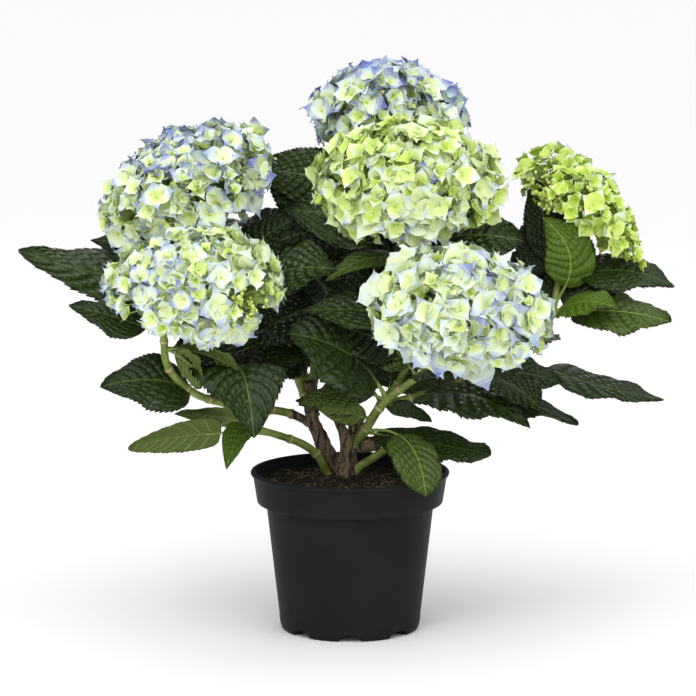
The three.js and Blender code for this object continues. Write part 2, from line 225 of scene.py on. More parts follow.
@dataclass
class Shell:
    """Grids of points gathered into one mesh: quads, and a polygon at each shut end.

    A grid's rows follow its length. A face's normal is (step across) x (step along), so a wrapped
    grid that runs anticlockwise round its length faces outwards.
    """

    points: list[np.ndarray] = field(default_factory=list)
    corners: list[np.ndarray] = field(default_factory=list)
    sides: list[np.ndarray] = field(default_factory=list)
    slots: list[np.ndarray] = field(default_factory=list)
    places: list[np.ndarray] = field(default_factory=list)
    count: int = 0

    def faces(self, corners: np.ndarray, slots: np.ndarray) -> None:
        """Adds polygons with the same number of corners each, and their material slots.

        Args:
            corners: (n, corners) point numbers.
            slots: a slot, or one for each.
        """
        self.corners.append(corners.ravel())
        self.sides.append(np.full(len(corners), corners.shape[1]))
        self.slots.append(np.broadcast_to(slots, len(corners)))

    def add(
        self,
        grids: np.ndarray,
        slots: np.ndarray | int = 0,
        closed: bool = False,
        places: np.ndarray | float = 0.0,
    ) -> None:
        """Adds grids of points as sheets or as closed skins.

        Args:
            grids: (rows, columns, 3) or (n, rows, columns, 3) points.
            slots: material slots, of a shape that spreads over (n, rows - 1, quads across).
            closed: joins the last column to the first, and shuts both end rows with a polygon each.
            places: (..., 2) places of the points on the piece's own map.
        """
        grids = grids.reshape((-1, *grids.shape[-3:]))
        number, rows, columns = grids.shape[:3]
        ids = self.count + np.arange(number * rows * columns).reshape(number, rows, columns)
        self.count += ids.size
        self.points.append(grids.reshape(-1, 3))
        self.places.append(np.broadcast_to(places, (*ids.shape, 2)).reshape(-1, 2))
        shut = np.concatenate([ids, ids[:, :, :1]], axis=2) if closed else ids
        quads = np.stack(
            [shut[:, :-1, :-1], shut[:, :-1, 1:], shut[:, 1:, 1:], shut[:, 1:, :-1]], axis=-1
        )
        marks = np.broadcast_to(slots, quads.shape[:3])
        self.faces(quads.reshape(-1, 4), marks.ravel())
        if closed:
            self.faces(ids[:, 0, ::-1], marks[:, 0, 0])
            self.faces(ids[:, -1, :], marks[:, -1, 0])

    def piece(self, name: str, materials: list[bpy.types.Material]) -> bpy.types.Object:
        """Makes the mesh and its object, smooth-shaded and in the scene.

        Args:
            name: the object's name.
            materials: one for each slot number used.
        Returns:
            The new object, at the origin.
        """
        corners, sides = np.concatenate(self.corners), np.concatenate(self.sides)
        mesh = bpy.data.meshes.new(name)
        mesh.vertices.add(self.count)
        mesh.vertices.foreach_set("co", np.concatenate(self.points).astype(np.float32).ravel())
        mesh.loops.add(len(corners))
        mesh.loops.foreach_set("vertex_index", corners.astype(np.int32))
        mesh.polygons.add(len(sides))
        mesh.polygons.foreach_set("loop_start", (np.cumsum(sides) - sides).astype(np.int32))
        mesh.polygons.foreach_set("material_index", np.concatenate(self.slots).astype(np.int32))
        mesh.polygons.foreach_set("use_smooth", np.ones(len(sides), bool))
        places = np.concatenate(self.places)
        if places.any():
            layer = mesh.uv_layers.new(name="blade")
            layer.data.foreach_set("uv", places[corners].astype(np.float32).ravel())
        for material in materials:
            mesh.materials.append(material)
        mesh.update(calc_edges=True)
        mesh.validate()
        made = bpy.data.objects.new(name, mesh)
        bpy.context.scene.collection.objects.link(made)
        return made


def deliver(piece: bpy.types.Object, slot: str, *nodes: str) -> None:
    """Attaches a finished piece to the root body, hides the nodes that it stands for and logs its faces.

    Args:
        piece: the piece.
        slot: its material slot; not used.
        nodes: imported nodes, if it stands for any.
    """
    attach(piece, "root")
    if nodes:
        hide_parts(*nodes)
    log.info("%s: %d faces", piece.name, len(piece.data.polygons))


def node_mesh(node: str) -> tuple[np.ndarray, np.ndarray]:
    """Vertices (v, 3) and triangles (f, 3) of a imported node.

    Args:
        node: the node's name.
    Returns:
        Points and the point numbers of each triangle.
    """
    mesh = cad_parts[node].data
    points = np.empty(3 * len(mesh.vertices))
    mesh.vertices.foreach_get("co", points)
    mesh.calc_loop_triangles()
    faces = np.empty(3 * len(mesh.loop_triangles), np.int32)
    mesh.loop_triangles.foreach_get("vertices", faces)
    return points.reshape(-1, 3), faces.reshape(-1, 3)


def numbered(finishes: tuple[Finish, ...]) -> dict[Finish, int]:
    """The slot number of each finish of a piece."""
    return {finish: number for number, finish in enumerate(finishes)}


def corners(node: str) -> tuple[np.ndarray, np.ndarray]:
    """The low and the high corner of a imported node's box."""
    low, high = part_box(node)
    return np.array(low), np.array(high)


def in_box(node: str, share: tuple[float, float, float]) -> np.ndarray:
    """The point at given shares of the way through a node's box, from its low to its high corner."""
    return blend(*corners(node), np.array(share))


# ---- finishes ----
def add_node(
    tree: bpy.types.NodeTree, kind: str, inputs: dict | None = None, **settings: object
) -> bpy.types.Node:
    """Adds a shader node with its settings, its input values and its links.

    Args:
        tree: the node tree to add to.
        kind: the node's type.
        inputs: values or output sockets for the inputs, by name or number.
        settings: attributes to set on the node first.
    Returns:
        The new node.
    """
    node = tree.nodes.new(kind)
    for name, value in settings.items():
        setattr(node, name, value)
    for name, value in (inputs or {}).items():
        if isinstance(value, bpy.types.NodeSocket):
            tree.links.new(value, node.inputs[name])
        else:
            node.inputs[name].default_value = value
    return node


def per_metre(size_mm: float) -> float:
    """Scale of a pattern whose repeat is size_mm."""
    return 1000 / size_mm


@dataclass(frozen=True)
class Graph:
    """A material's node tree with its shader and its coordinates, and the steps that patterns share.

    Values are sockets or numbers, and colours are sockets or linear colours.
    """

    tree: bpy.types.NodeTree
    shader: bpy.types.Node
    place: bpy.types.NodeSocket

    def noise(self, size_mm: float, detail: float = 2.0) -> bpy.types.NodeSocket:
        """Clouds of size_mm, with values about 0.5."""
        inputs = {"Vector": self.place, "Scale": per_metre(size_mm), "Detail": detail}
        return add_node(self.tree, "ShaderNodeTexNoise", inputs).outputs["Fac"]

    def cells(self, size_mm: float, feature: str = "F1") -> bpy.types.NodeSocket:
        """Cells of size_mm: the distance from their middles or, as a feature, from their edges."""
        inputs = {"Vector": self.place, "Scale": per_metre(size_mm)}
        return add_node(self.tree, "ShaderNodeTexVoronoi", inputs, feature=feature).outputs["Distance"]

    def math(self, operation: str, *values: object) -> bpy.types.NodeSocket:
        """One step of arithmetic."""
        inputs = dict(enumerate(values))
        return add_node(self.tree, "ShaderNodeMath", inputs, operation=operation).outputs[0]

    def remapped(
        self,
        value: object,
        window: tuple[float, float],
        limits: tuple[float, float] = (0.0, 1.0),
        curve: str = "LINEAR",
    ) -> bpy.types.NodeSocket:
        """A value whose window is spread over the limits, and which is held at them outside it.

        Args:
            value: the value.
            window: the values that reach the limits.
            limits: what they become.
            curve: the way between them.
        Returns:
            The socket with the new value.
        """
        inputs = {"Value": value, "From Min": window[0], "From Max": window[1]}
        inputs |= {"To Min": limits[0], "To Max": limits[1]}
        return add_node(self.tree, "ShaderNodeMapRange", inputs, interpolation_type=curve).outputs[0]

    def mixed(self, share: object, under: object, over: object) -> bpy.types.NodeSocket:
        """Two colours, with a share of the second."""
        layers = {0: share, 6: under, 7: over}
        return add_node(self.tree, "ShaderNodeMix", layers, data_type="RGBA").outputs[2]

    def mottled(
        self, under: object, over: str, size_mm: float, window: tuple[float, float], detail: float = 3.0
    ) -> bpy.types.NodeSocket:
        """Lays a second colour over the first in cloudy patches.

        Args:
            under: the first colour.
            over: the second colour, as a hex colour.
            size_mm: the size of a patch.
            window: noise values where the second colour starts and where it is full.
            detail: how fine the patches' edges are.
        Returns:
            The socket with the mixed colour.
        """
        return self.mixed(self.remapped(self.noise(size_mm, detail), window), under, linear(over))

    def colour(self, mix: bpy.types.NodeSocket) -> None:
        """Gives the surface a colour that varies."""
        self.tree.links.new(mix, self.shader.inputs["Base Color"])

    def gloss(
        self, cloud: bpy.types.NodeSocket, low: float, high: float, window: tuple[float, float] = (0.0, 1.0)
    ) -> None:
        """Lets the roughness wander from low to high with a cloud."""
        self.tree.links.new(self.remapped(cloud, window, (low, high)), self.shader.inputs["Roughness"])

    def emboss(self, height: bpy.types.NodeSocket, strength: float, depth_mm: float) -> None:
        """Raises the surface in bump only.

        Args:
            height: how high each point lies.
            strength: share of the bump that is seen.
            depth_mm: the rise for a height of 1.
        """
        relief = {"Height": height, "Strength": strength, "Distance": depth_mm * MM}
        bump = add_node(self.tree, "ShaderNodeBump", relief)
        self.tree.links.new(bump.outputs[0], self.shader.inputs["Normal"])


@dataclass(frozen=True)
class Finish:
    """A plain dielectric surface: its name, its colour and how it shines. The patterns come on top."""

    name: str
    colour: str
    roughness: float = 0.5
    ior: float = 1.45
    shine: float = 0.5

    def pattern(self, graph: Graph) -> None:
        """Adds this finish's own pattern to the shader."""

    def material(self) -> bpy.types.Material:
        """Builds the material: one Principled surface and its pattern on Object coordinates.

        Returns:
            The new material.
        """
        made = bpy.data.materials.new(self.name)
        made.use_nodes = True
        tree = made.node_tree
        tree.nodes.clear()
        settings = {
            "Base Color": linear(self.colour),
            "Roughness": self.roughness,
            "IOR": self.ior,
            "Specular IOR Level": self.shine,
        }
        shader = add_node(tree, "ShaderNodeBsdfPrincipled", settings)
        add_node(tree, "ShaderNodeOutputMaterial", {"Surface": shader.outputs[0]})
        self.pattern(Graph(tree, shader, add_node(tree, "ShaderNodeTexCoord").outputs["Object"]))
        return made


@dataclass(frozen=True)
class MouldedPolypropylene(Finish):
    """Black polypropylene as injection-moulded: satin, with the fine spark texture of the tool."""

    dust: str = "222223"

    def pattern(self, graph: Graph) -> None:
        """Faint handling haze in colour and gloss, and a fine grain drawn at 1.4 mm so that it shows.

        Args:
            graph: the material's nodes.
        """
        graph.colour(graph.mottled(linear(self.colour), self.dust, 60, (0.42, 0.75), detail=5))
        graph.gloss(graph.noise(45, detail=6), self.roughness - 0.06, self.roughness + 0.08)
        graph.emboss(graph.noise(1.4), strength=0.12, depth_mm=0.3)


@dataclass(frozen=True)
class Peat(Finish):
    """Damp peat compost: dark brown crumbs, paler where the top has dried."""

    dry: str = "4c402c"
    wet: str = "14100a"

    def pattern(self, graph: Graph) -> None:
        """Dry patches over wet ones, and crumbs of 2 mm in relief.

        Args:
            graph: the material's nodes.
        """
        damp = graph.mottled(linear(self.colour), self.wet, 9, (0.45, 0.7), detail=6)
        graph.colour(graph.mottled(damp, self.dry, 2.2, (0.55, 0.75), detail=4))
        graph.emboss(graph.cells(2), strength=0.6, depth_mm=1.2)


@dataclass(frozen=True)
class Bark(Finish):
    """Old hydrangea wood: thin brown bark, split lengthwise and flaking grey."""

    furrow: str = "1d160f"
    flake: str = "a09079"

    def pattern(self, graph: Graph) -> None:
        """Streaks five times as long as wide: dark in the furrows, grey-brown on the flakes.

        Args:
            graph: the material's nodes.
        """
        stretch = {"Vector": graph.place, "Scale": (1.0, 1.0, 0.2)}
        streaks = replace(graph, place=add_node(graph.tree, "ShaderNodeMapping", stretch).outputs[0])
        dark = streaks.mottled(linear(self.colour), self.furrow, 3.2, (0.45, 0.62), detail=6)
        streaks.colour(streaks.mottled(dark, self.flake, 1.8, (0.58, 0.72), detail=5))
        streaks.emboss(streaks.noise(1.6, detail=5), strength=0.7, depth_mm=0.8)


@dataclass(frozen=True)
class GreenRind(Finish):
    """The rind of a young shoot: waxy yellow-green, flushed, and freckled with brown lenticels."""

    flush: str = "5c6f28"
    freckle: str = "6a4a3a"
    freckle_mm: float = 2.6

    def pattern(self, graph: Graph) -> None:
        """A slow change of green along the shoot, and small dark specks on it.

        Args:
            graph: the material's nodes.
        """
        green = graph.mottled(linear(self.colour), self.flush, 14, (0.4, 0.7))
        speck = graph.remapped(graph.cells(self.freckle_mm), (0.12, 0.26), (0.75, 0.0))
        graph.colour(graph.mixed(speck, green, linear(self.freckle)))
        graph.emboss(graph.noise(1.5, detail=3), strength=0.25, depth_mm=0.3)


@dataclass(frozen=True)
class LeafSkin(Finish):
    """The skin of a leaf: puckered between its veins, and netted with small ones, which breaks up shine.

    The colour is plain, because leaves are dealt their tones one by one. The puckers follow the map
    of the blade, whose first number counts the side veins and whose second runs out from the midrib.
    """

    relief_mm: float = 2.3
    net_mm: float = 3.0
    net_share: float = 0.16
    gloss_spread: float = 0.16
    cross_veins: float = 5.5

    def pattern(self, graph: Graph) -> None:
        """Puckers, the vein net and gloss that comes and goes.

        Height = |sin(pi a)|^0.7 (0.6 + 0.4 cos(2 pi (b c + a / 2))) + net share n, with a the count
        of side veins, b the place out from the midrib, c the number of cross veins and n the
        cushions of the net, whose cells are drawn at 3 mm so that they show.

        Args:
            graph: the material's nodes.
        """
        chart = add_node(graph.tree, "ShaderNodeUVMap", uv_map="blade").outputs[0]
        count, out, _ = add_node(graph.tree, "ShaderNodeSeparateXYZ", {0: chart}).outputs
        turn = graph.math("MULTIPLY", count, np.pi)
        swell = graph.math("POWER", graph.math("ABSOLUTE", graph.math("SINE", turn)), 0.7)
        step = graph.math("MULTIPLY_ADD", out, 2 * np.pi * self.cross_veins, turn)
        dent = graph.math("MULTIPLY_ADD", graph.math("COSINE", step), 0.4, 0.6)
        pucker = graph.math("MULTIPLY", swell, dent)
        edge = graph.cells(self.net_mm, feature="DISTANCE_TO_EDGE")
        cushion = graph.remapped(edge, (0.0, 0.35), (0.0, self.net_share), curve="SMOOTHSTEP")
        graph.emboss(graph.math("ADD", pucker, cushion), strength=0.9, depth_mm=self.relief_mm)
        low, high = self.roughness - self.gloss_spread / 2, self.roughness + self.gloss_spread / 2
        graph.gloss(graph.noise(9, detail=3), low, high, window=(0.3, 0.7))


@dataclass(frozen=True)
class PetalTissue(Finish):
    """Thin, soft tissue with a faint crinkle, in a plain colour: sepals are dealt their tints."""

    crinkle_mm: float = 2.5

    def pattern(self, graph: Graph) -> None:
        """A soft crinkle in relief, and a velvet that varies over 6 mm.

        Args:
            graph: the material's nodes.
        """
        graph.emboss(graph.noise(self.crinkle_mm), strength=0.3, depth_mm=0.4)
        graph.gloss(graph.noise(6), self.roughness - 0.1, self.roughness + 0.1)


# The pot: black satin plastic, IOR 1.49.
POLYPROPYLENE = MouldedPolypropylene("polypropylene_black_moulded", "1e1e1f", 0.45, 1.49, 0.04)
# What fills it: matt and dark, so that fibres and crumbs stand out pale.
PEAT = Peat("peat_compost", "241c12", 0.95, 1.4)
FIBRE = PetalTissue("peat_fibre_straw", "7d7257", 0.8, 1.45)
GRIT = PetalTissue("peat_grit_pale", "857a60", 0.9, 1.5)
# Old wood and the cut ends of pruned stubs.
BARK = Bark("hydrangea_bark", "786651", 0.85, 1.45)
CUT_WOOD = Bark("cut_wood_weathered", "6d5949", 0.9, 1.45, furrow="3e2c22", flake="9c8571")
# This season's shoots: waxy, so a soft shine runs along them.
RIND = GreenRind("green_shoot_rind", "8c9d4e", 0.42, 1.45)
SCAR = GreenRind("leaf_scar_cork", "cfc795", 0.7, 1.45, flush="a58f68")
STALK = LeafSkin("leaf_stalk_rind", "8ba04e", 0.4, 1.45, relief_mm=0.2)
# Leaves: glossy above, from the dark of old leaves to the fresh green of young ones. The deep green
# ones are the most puckered, and the darkest lie flatter.
LEAF_BLACK = LeafSkin("leaf_upper_darkest", "1b290d", 0.36, 1.42, 0.4, relief_mm=1.0)
LEAF_DARK = LeafSkin("leaf_upper_dark", "243510", 0.3, 1.42, 0.45, relief_mm=1.1)
LEAF_DEEP = LeafSkin("leaf_upper_deep", "2e4016", 0.27, 1.45, 0.6)
LEAF_MID = LeafSkin("leaf_upper_mid", "445820", 0.34, 1.42, 0.45, relief_mm=1.4)
LEAF_FRESH = LeafSkin("leaf_upper_fresh", "54701f", 0.4, 1.42, 0.4, relief_mm=1.3)
VEIN_DARK = LeafSkin("leaf_vein_dark", "3b5027", 0.36, 1.42, 0.45, relief_mm=0.1)
VEIN_FRESH = LeafSkin("leaf_vein_fresh", "6c8738", 0.42, 1.4, 0.35, relief_mm=0.1)
RIB_DARK = LeafSkin("leaf_midrib_dark", "566a38", 0.36, 1.42, 0.45, relief_mm=0.1)
RIB_FRESH = LeafSkin("leaf_midrib_fresh", "8aa64c", 0.38, 1.4, 0.35, relief_mm=0.1)
# Beneath, a leaf is matt and pale, with its net of veins standing out.
UNDER = LeafSkin("leaf_underside", "51652c", 0.62, 1.4, 0.3, relief_mm=0.9)
UNDER_PALE = LeafSkin("leaf_underside_pale", "5e6f34", 0.62, 1.4, 0.3, relief_mm=0.9)
UNDER_VEIN = LeafSkin("leaf_underside_vein", "7f9150", 0.58, 1.4, 0.3, relief_mm=0.1)

# Sepals run from the lime of a young floret to the violet-blue of an open one's tips.
SEPAL_TINTS = (
    ("sepal_lime_deep", "a9c23c"),
    ("sepal_lime", "b6d053"),
    ("sepal_lime_soft", "c6dc6c"),
    ("sepal_lime_pale", "d2e48a"),
    ("sepal_lime_cream", "dae8a8"),
    ("sepal_cream", "ddeac0"),
    ("sepal_ivory", "dce9d3"),
    ("sepal_ice", "d2dfdb"),
    ("sepal_lilac_pale", "bfcdd6"),
    ("sepal_lilac_soft", "abb9ce"),
    ("sepal_lilac", "98a5c4"),
    ("sepal_periwinkle", "8794c0"),
    ("sepal_blue_violet", "7480bd"),
    ("sepal_violet_deep", "5e6aab"),
)
SEPALS = tuple(PetalTissue(name, colour, 0.62, 1.4) for name, colour in SEPAL_TINTS)
BUD = PetalTissue("flower_bud_lime", "cbde74", 0.5, 1.42)
EYE = PetalTissue("floret_eye", "b9cf50", 0.45, 1.42)
PEDICEL = PetalTissue("flower_stalk_rind", "8fa64e", 0.5, 1.45)


@dataclass
class Palette:
    """Materials made once from their finishes, and handed out as a piece's slots."""

    made: dict[str, bpy.types.Material] = field(default_factory=dict)

    def of(self, *finishes: Finish) -> list[bpy.types.Material]:
        """The materials of these finishes, in order.

        Args:
            finishes: the finishes of a piece.
        Returns:
            A material for each.
        """
        for finish in finishes:
            if finish.name not in self.made:
                self.made[finish.name] = finish.material()
        return [self.made[finish.name] for finish in finishes]


# ---- the pot ----
@dataclass
class Pot:
    """Round nursery pot: rolled lip, plain rim band, tapered wall, foot ring with eight slots.

    Sizes that end in _share are radii as shares of the rim's.
    """

    node: str = "pot"
    lip_mm: float = 2.2
    band_mm: float = 29.5
    step_mm: float = 5.5
    wall_mm: float = 1.7
    foot_mm: float = 6.6
    heel_mm: float = 14.0
    foot_ring_mm: float = 9.0
    foot_share: float = 0.679
    heel_share: float = 0.714
    neck_share: float = 0.839
    band_share: float = 0.935
    middle_ring_mm: float = 16.0
    edge_mm: float = 0.8
    pinhole_mm: float = 0.4
    slots: int = 8
    slot_half_angle: float = 9.4
    drains: int = 8
    drain_mm: float = 4.5
    drain_circle_mm: float = 38.0
    sides: int = 256

    def profile(self) -> np.ndarray:
        """Outline from the middle of the underside, out, up the wall, over the lip and back inside.

        Straight runs between named sizes. The heel is a quarter of an ellipse, the lip a half circle
        and the step under the rim band an eased slope.

        Returns:
            (n, 2) radii and heights.
        """
        low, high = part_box(self.node)
        top, rim = high.z, (high.x - low.x) / 2
        lip, wall, edge = self.lip_mm * MM, self.wall_mm * MM, self.edge_mm * MM
        heel, foot, middle = self.heel_mm * MM, self.foot_mm * MM, self.middle_ring_mm * MM
        pinhole = self.pinhole_mm * MM
        band_foot = top - self.band_mm * MM
        neck = band_foot - self.step_mm * MM
        foot_radius, heel_radius = rim * self.foot_share, rim * self.heel_share
        neck_radius, band_radius = rim * self.neck_share, rim * self.band_share
        ring = foot_radius - self.foot_ring_mm * MM
        underside = [
            [pinhole, 0.0],
            [middle - edge, 0.0],
            [middle, edge],
            [middle + 2 * MM, foot],
            [ring - 1.2 * MM, foot],
            [ring - 0.4 * MM, edge],
            [ring + 0.4 * MM, 0.0],
            [foot_radius - edge, 0.0],
            [foot_radius, 0.6 * MM],
        ]
        quarter = np.linspace(0, np.pi / 2, 9)[1:]
        heel_out = foot_radius + (heel_radius - foot_radius) * np.sin(quarter)
        heel_curve = np.stack([heel_out, heel * (1 - np.cos(quarter))], axis=-1)
        slope = np.linspace(0, 1, 8)
        step_out = blend(neck_radius, band_radius, eased(slope))
        step = np.stack([step_out, blend(neck, band_foot, slope)], axis=-1)
        half = np.linspace(-np.pi / 2, np.pi / 2, 9)
        lip_curve = np.stack([rim - lip + lip * np.cos(half), top - lip + lip * np.sin(half)], axis=-1)
        outside = blend(heel_curve[-1], step[0], np.linspace(0.12, 0.98, 12)[:, None])
        band = blend(step[-1], lip_curve[0], np.linspace(0.15, 0.95, 6)[:, None])
        inside = [
            [rim - lip - wall, top],
            [rim - lip - wall - 0.4 * MM, top - 1.2 * MM],
            [band_radius - wall, band_foot + wall],
            [neck_radius - wall, neck],
            [heel_radius - wall, heel],
            [foot_radius - wall - 1 * MM, foot + 4 * MM],
            [foot_radius - wall - 4 * MM, foot + wall],
            [pinhole, foot + wall],
        ]
        return np.concatenate([underside, heel_curve, outside, step, band, lip_curve, inside])

    def skin(self) -> np.ndarray:
        """The outline turned once round. In a slot the foot ring is lifted to the floor's underside.

        The lift is the foot height times (1 - x^4)^(1/2), with x from -1 to 1 across the slot, so a
        slot has upright sides and a rounded top.

        Returns:
            (rows, sides, 3) points, from the inside out.
        """
        outline = self.profile()
        turn = circle(self.sides)
        pitch = 2 * np.pi / self.slots
        off = (turn + pitch / 2) % pitch - pitch / 2
        across = np.clip(np.abs(off) / np.radians(self.slot_half_angle), 0, 1)
        lift = (self.foot_mm - 0.4) * MM * np.sqrt(1 - across**4)
        radius = np.repeat(outline[:, :1], self.sides, axis=1)
        height = np.repeat(outline[:, 1:], self.sides, axis=1)
        foot = (radius > self.drain_circle_mm * MM) & (height < self.foot_mm * MM)
        height = np.where(foot, np.maximum(height, lift), height)
        grid = np.stack([radius * np.cos(turn), radius * np.sin(turn), height], axis=-1)
        return grid[::-1]

    def drilled(self, pot: bpy.types.Object) -> None:
        """Cuts the drain holes through the floor with one joined set of round cutters.

        Args:
            pot: the pot's object.
        """
        turn = circle(self.drains)
        middles = self.drain_circle_mm * MM * np.stack([np.cos(turn), np.sin(turn)], axis=-1)
        paths = np.zeros((self.drains, 3, 3))
        paths[..., :2] = middles[:, None]
        paths[..., 2] = np.linspace(2, 14, 3) * MM
        cutter = Shell()
        cutter.add(swept(paths, np.full((self.drains, 3), self.drain_mm * MM), 24), closed=True)
        tool = cutter.piece("drain_cutter", [])
        cut = pot.modifiers.new("drains", "BOOLEAN")
        cut.operation, cut.solver, cut.object = "DIFFERENCE", "EXACT", tool
        shaped = pot.evaluated_get(bpy.context.evaluated_depsgraph_get())
        pot.data = bpy.data.meshes.new_from_object(shaped)
        pot.modifiers.clear()
        bpy.data.objects.remove(tool)

    def build(self, palette: Palette) -> None:
        """Turns the outline, cuts the drain holes and dresses the pot.

        Args:
            palette: the plant's materials.
        """
        shell = Shell()
        shell.add(self.skin(), closed=True)
        pot = shell.piece("nursery_pot", palette.of(POLYPROPYLENE))
        self.drilled(pot)
        deliver(pot, "pot_plastic", self.node)


@dataclass
class Compost:
    """The root ball: peat up to just under the rim, with crumbs, straw fibres and fine rootlets on it."""

    node: str = "root_ball"
    sides: int = 128
    rings: int = 48
    swell_mm: float = 0.99
    crumble_mm: float = 0.5
    mound_mm: float = 2.2
    mound_at: tuple[float, float] = (0.0, 0.035)
    mound_size: tuple[float, float] = (0.028, 0.024)
    level_mm: float = 1.2
    crumbs: int = 620
    fibres: int = 190
    rootlets: int = 12
    grit: int = 230
    rng: np.random.Generator = field(default_factory=lambda: np.random.default_rng(SEED + 2))

    def surface(self, x: np.ndarray, y: np.ndarray) -> np.ndarray:
        """Height of the top above its mean level: hummocks of two sizes, and a mound at the trunks.

        Args:
            x: places across.
            y: places along.
        Returns:
            A height for each place.
        """
        hummock = self.swell_mm * ripples(SEED, 90 * x, 1.3 * y, (1, 3), (4, 30))
        crumble = self.crumble_mm * ripples(SEED + 1, 260 * x, y, (1, 4), (40, 150))
        away = (x - self.mound_at[0]) / self.mound_size[0], (y - self.mound_at[1]) / self.mound_size[1]
        mound = self.mound_mm * np.exp(-(away[0] ** 2 + away[1] ** 2))
        return (hummock + crumble + mound - 1.0) * MM

    def ball(self) -> np.ndarray:
        """Closed skin: floor, wall and uneven top, read from the node's outline in polar rings.

        Returns:
            (rows, sides, 3) points, from the floor up.
        """
        points, _ = node_mesh(self.node)
        low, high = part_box(self.node)
        radius = np.hypot(points[:, 0], points[:, 1])
        levels = np.unique(np.round(points[:, 2], 5))
        widest = np.array([radius[np.abs(points[:, 2] - level) < 1e-4].max() for level in levels])
        turn = circle(self.sides)
        top = (widest[-1] - 0.3 * MM) * np.linspace(1, 0.004, self.rings)[:, None] * np.ones(self.sides)
        crown = high.z - self.level_mm * MM + self.surface(top * np.cos(turn), top * np.sin(turn))
        sides = np.append(0.4 * MM, widest[:-1] * 0.985)[:, None] * np.ones(self.sides)
        rises = np.append(low.z, levels[:-1])[:, None] * np.ones(self.sides)
        wide, level = np.concatenate([sides, top]), np.concatenate([rises, crown])
        return np.stack([wide * np.cos(turn), wide * np.sin(turn), level], axis=-1)

    def scatter(self, number: int, inner: float, outer: float) -> np.ndarray:
        """Points strewn evenly over the top between two shares of its radius, as (number, 3).

        Args:
            number: how many.
            inner: least share.
            outer: greatest share.
        Returns:
            Points on the surface.
        """
        _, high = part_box(self.node)
        reach = 0.96 * high.x * np.sqrt(self.rng.uniform(inner**2, outer**2, number))
        turn = self.rng.uniform(0, 2 * np.pi, number)
        x, y = reach * np.cos(turn), reach * np.sin(turn)
        return np.stack([x, y, high.z - self.level_mm * MM + self.surface(x, y)], axis=-1)

    def lumps(self, number: int, sizes_mm: tuple[float, float]) -> np.ndarray:
        """Uneven closed crumbs: small balls of 5 by 7 points, each point pushed in or out.

        Args:
            number: how many.
            sizes_mm: least and greatest thickness.
        Returns:
            (number, 5, 7, 3) points.
        """
        ball = round_ball(5, 7, 0.12)
        size = MM * self.rng.uniform(*sizes_mm, (number, 1, 1, 3)) / 2
        rough = self.rng.uniform(0.72, 1.15, (number, 5, 7, 1))
        return self.scatter(number, 0.0, 1.0)[:, None, None] + ball * size * rough

    def threads(
        self, number: int, length_mm: tuple[float, float], thick_mm: float, lift_mm: float, sides: int
    ) -> np.ndarray:
        """Curled threads lying on the top: an arc each, from a strewn point, humped by up to lift_mm.

        Args:
            number: how many.
            length_mm: least and greatest length.
            thick_mm: radius of a thread.
            lift_mm: greatest hump.
            sides: points round a thread.
        Returns:
            (number, 7, sides, 3) points.
        """
        rng, share = self.rng, np.linspace(0, 1, 7)
        start = self.scatter(number, 0.1, 0.97)
        turn = rng.uniform(0, 2 * np.pi, (number, 1))
        turn = turn + np.linspace(-1, 1, 7) * rng.uniform(-1, 1, (number, 1))
        stride = MM * rng.uniform(*length_mm, (number, 1)) / 6
        x = start[:, :1] + np.cumsum(np.cos(turn) * stride, axis=1)
        y = start[:, 1:2] + np.cumsum(np.sin(turn) * stride, axis=1)
        _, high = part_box(self.node)
        pull = np.minimum(1, 0.95 * high.x / np.hypot(x, y))
        x, y = x * pull, y * pull
        hump = lift_mm * MM * np.sin(np.pi * share) * rng.uniform(0, 1, (number, 1))
        paths = np.stack([x, y, high.z - 0.9 * MM + self.surface(x, y) + hump], axis=-1)
        return swept(paths, np.full((number, 7), thick_mm * MM), sides)

    def build(self, palette: Palette) -> None:
        """Makes the compost, then strews it.

        Args:
            palette: the plant's materials.
        """
        ball = Shell()
        ball.add(self.ball(), closed=True)
        ball.add(self.lumps(self.crumbs, (1.6, 4.6)), closed=True)
        deliver(ball.piece("peat_root_ball", palette.of(PEAT)), "peat", self.node)
        strewn = Shell()
        strewn.add(self.threads(self.fibres, (3, 8), 0.22, 1.5, 4), closed=True)
        strewn.add(self.lumps(self.grit, (0.8, 2.4)), 1, closed=True)
        strewn.add(self.threads(self.rootlets, (14, 30), 0.3, 4.0, 5), closed=True)
        deliver(strewn.piece("peat_fibres", palette.of(FIBRE, GRIT)), "peat")


# ---- limbs ----
class Wood(Enum):
    """What a limb is made of."""

    OLD = "old wood"
    GREEN = "this season's shoot"


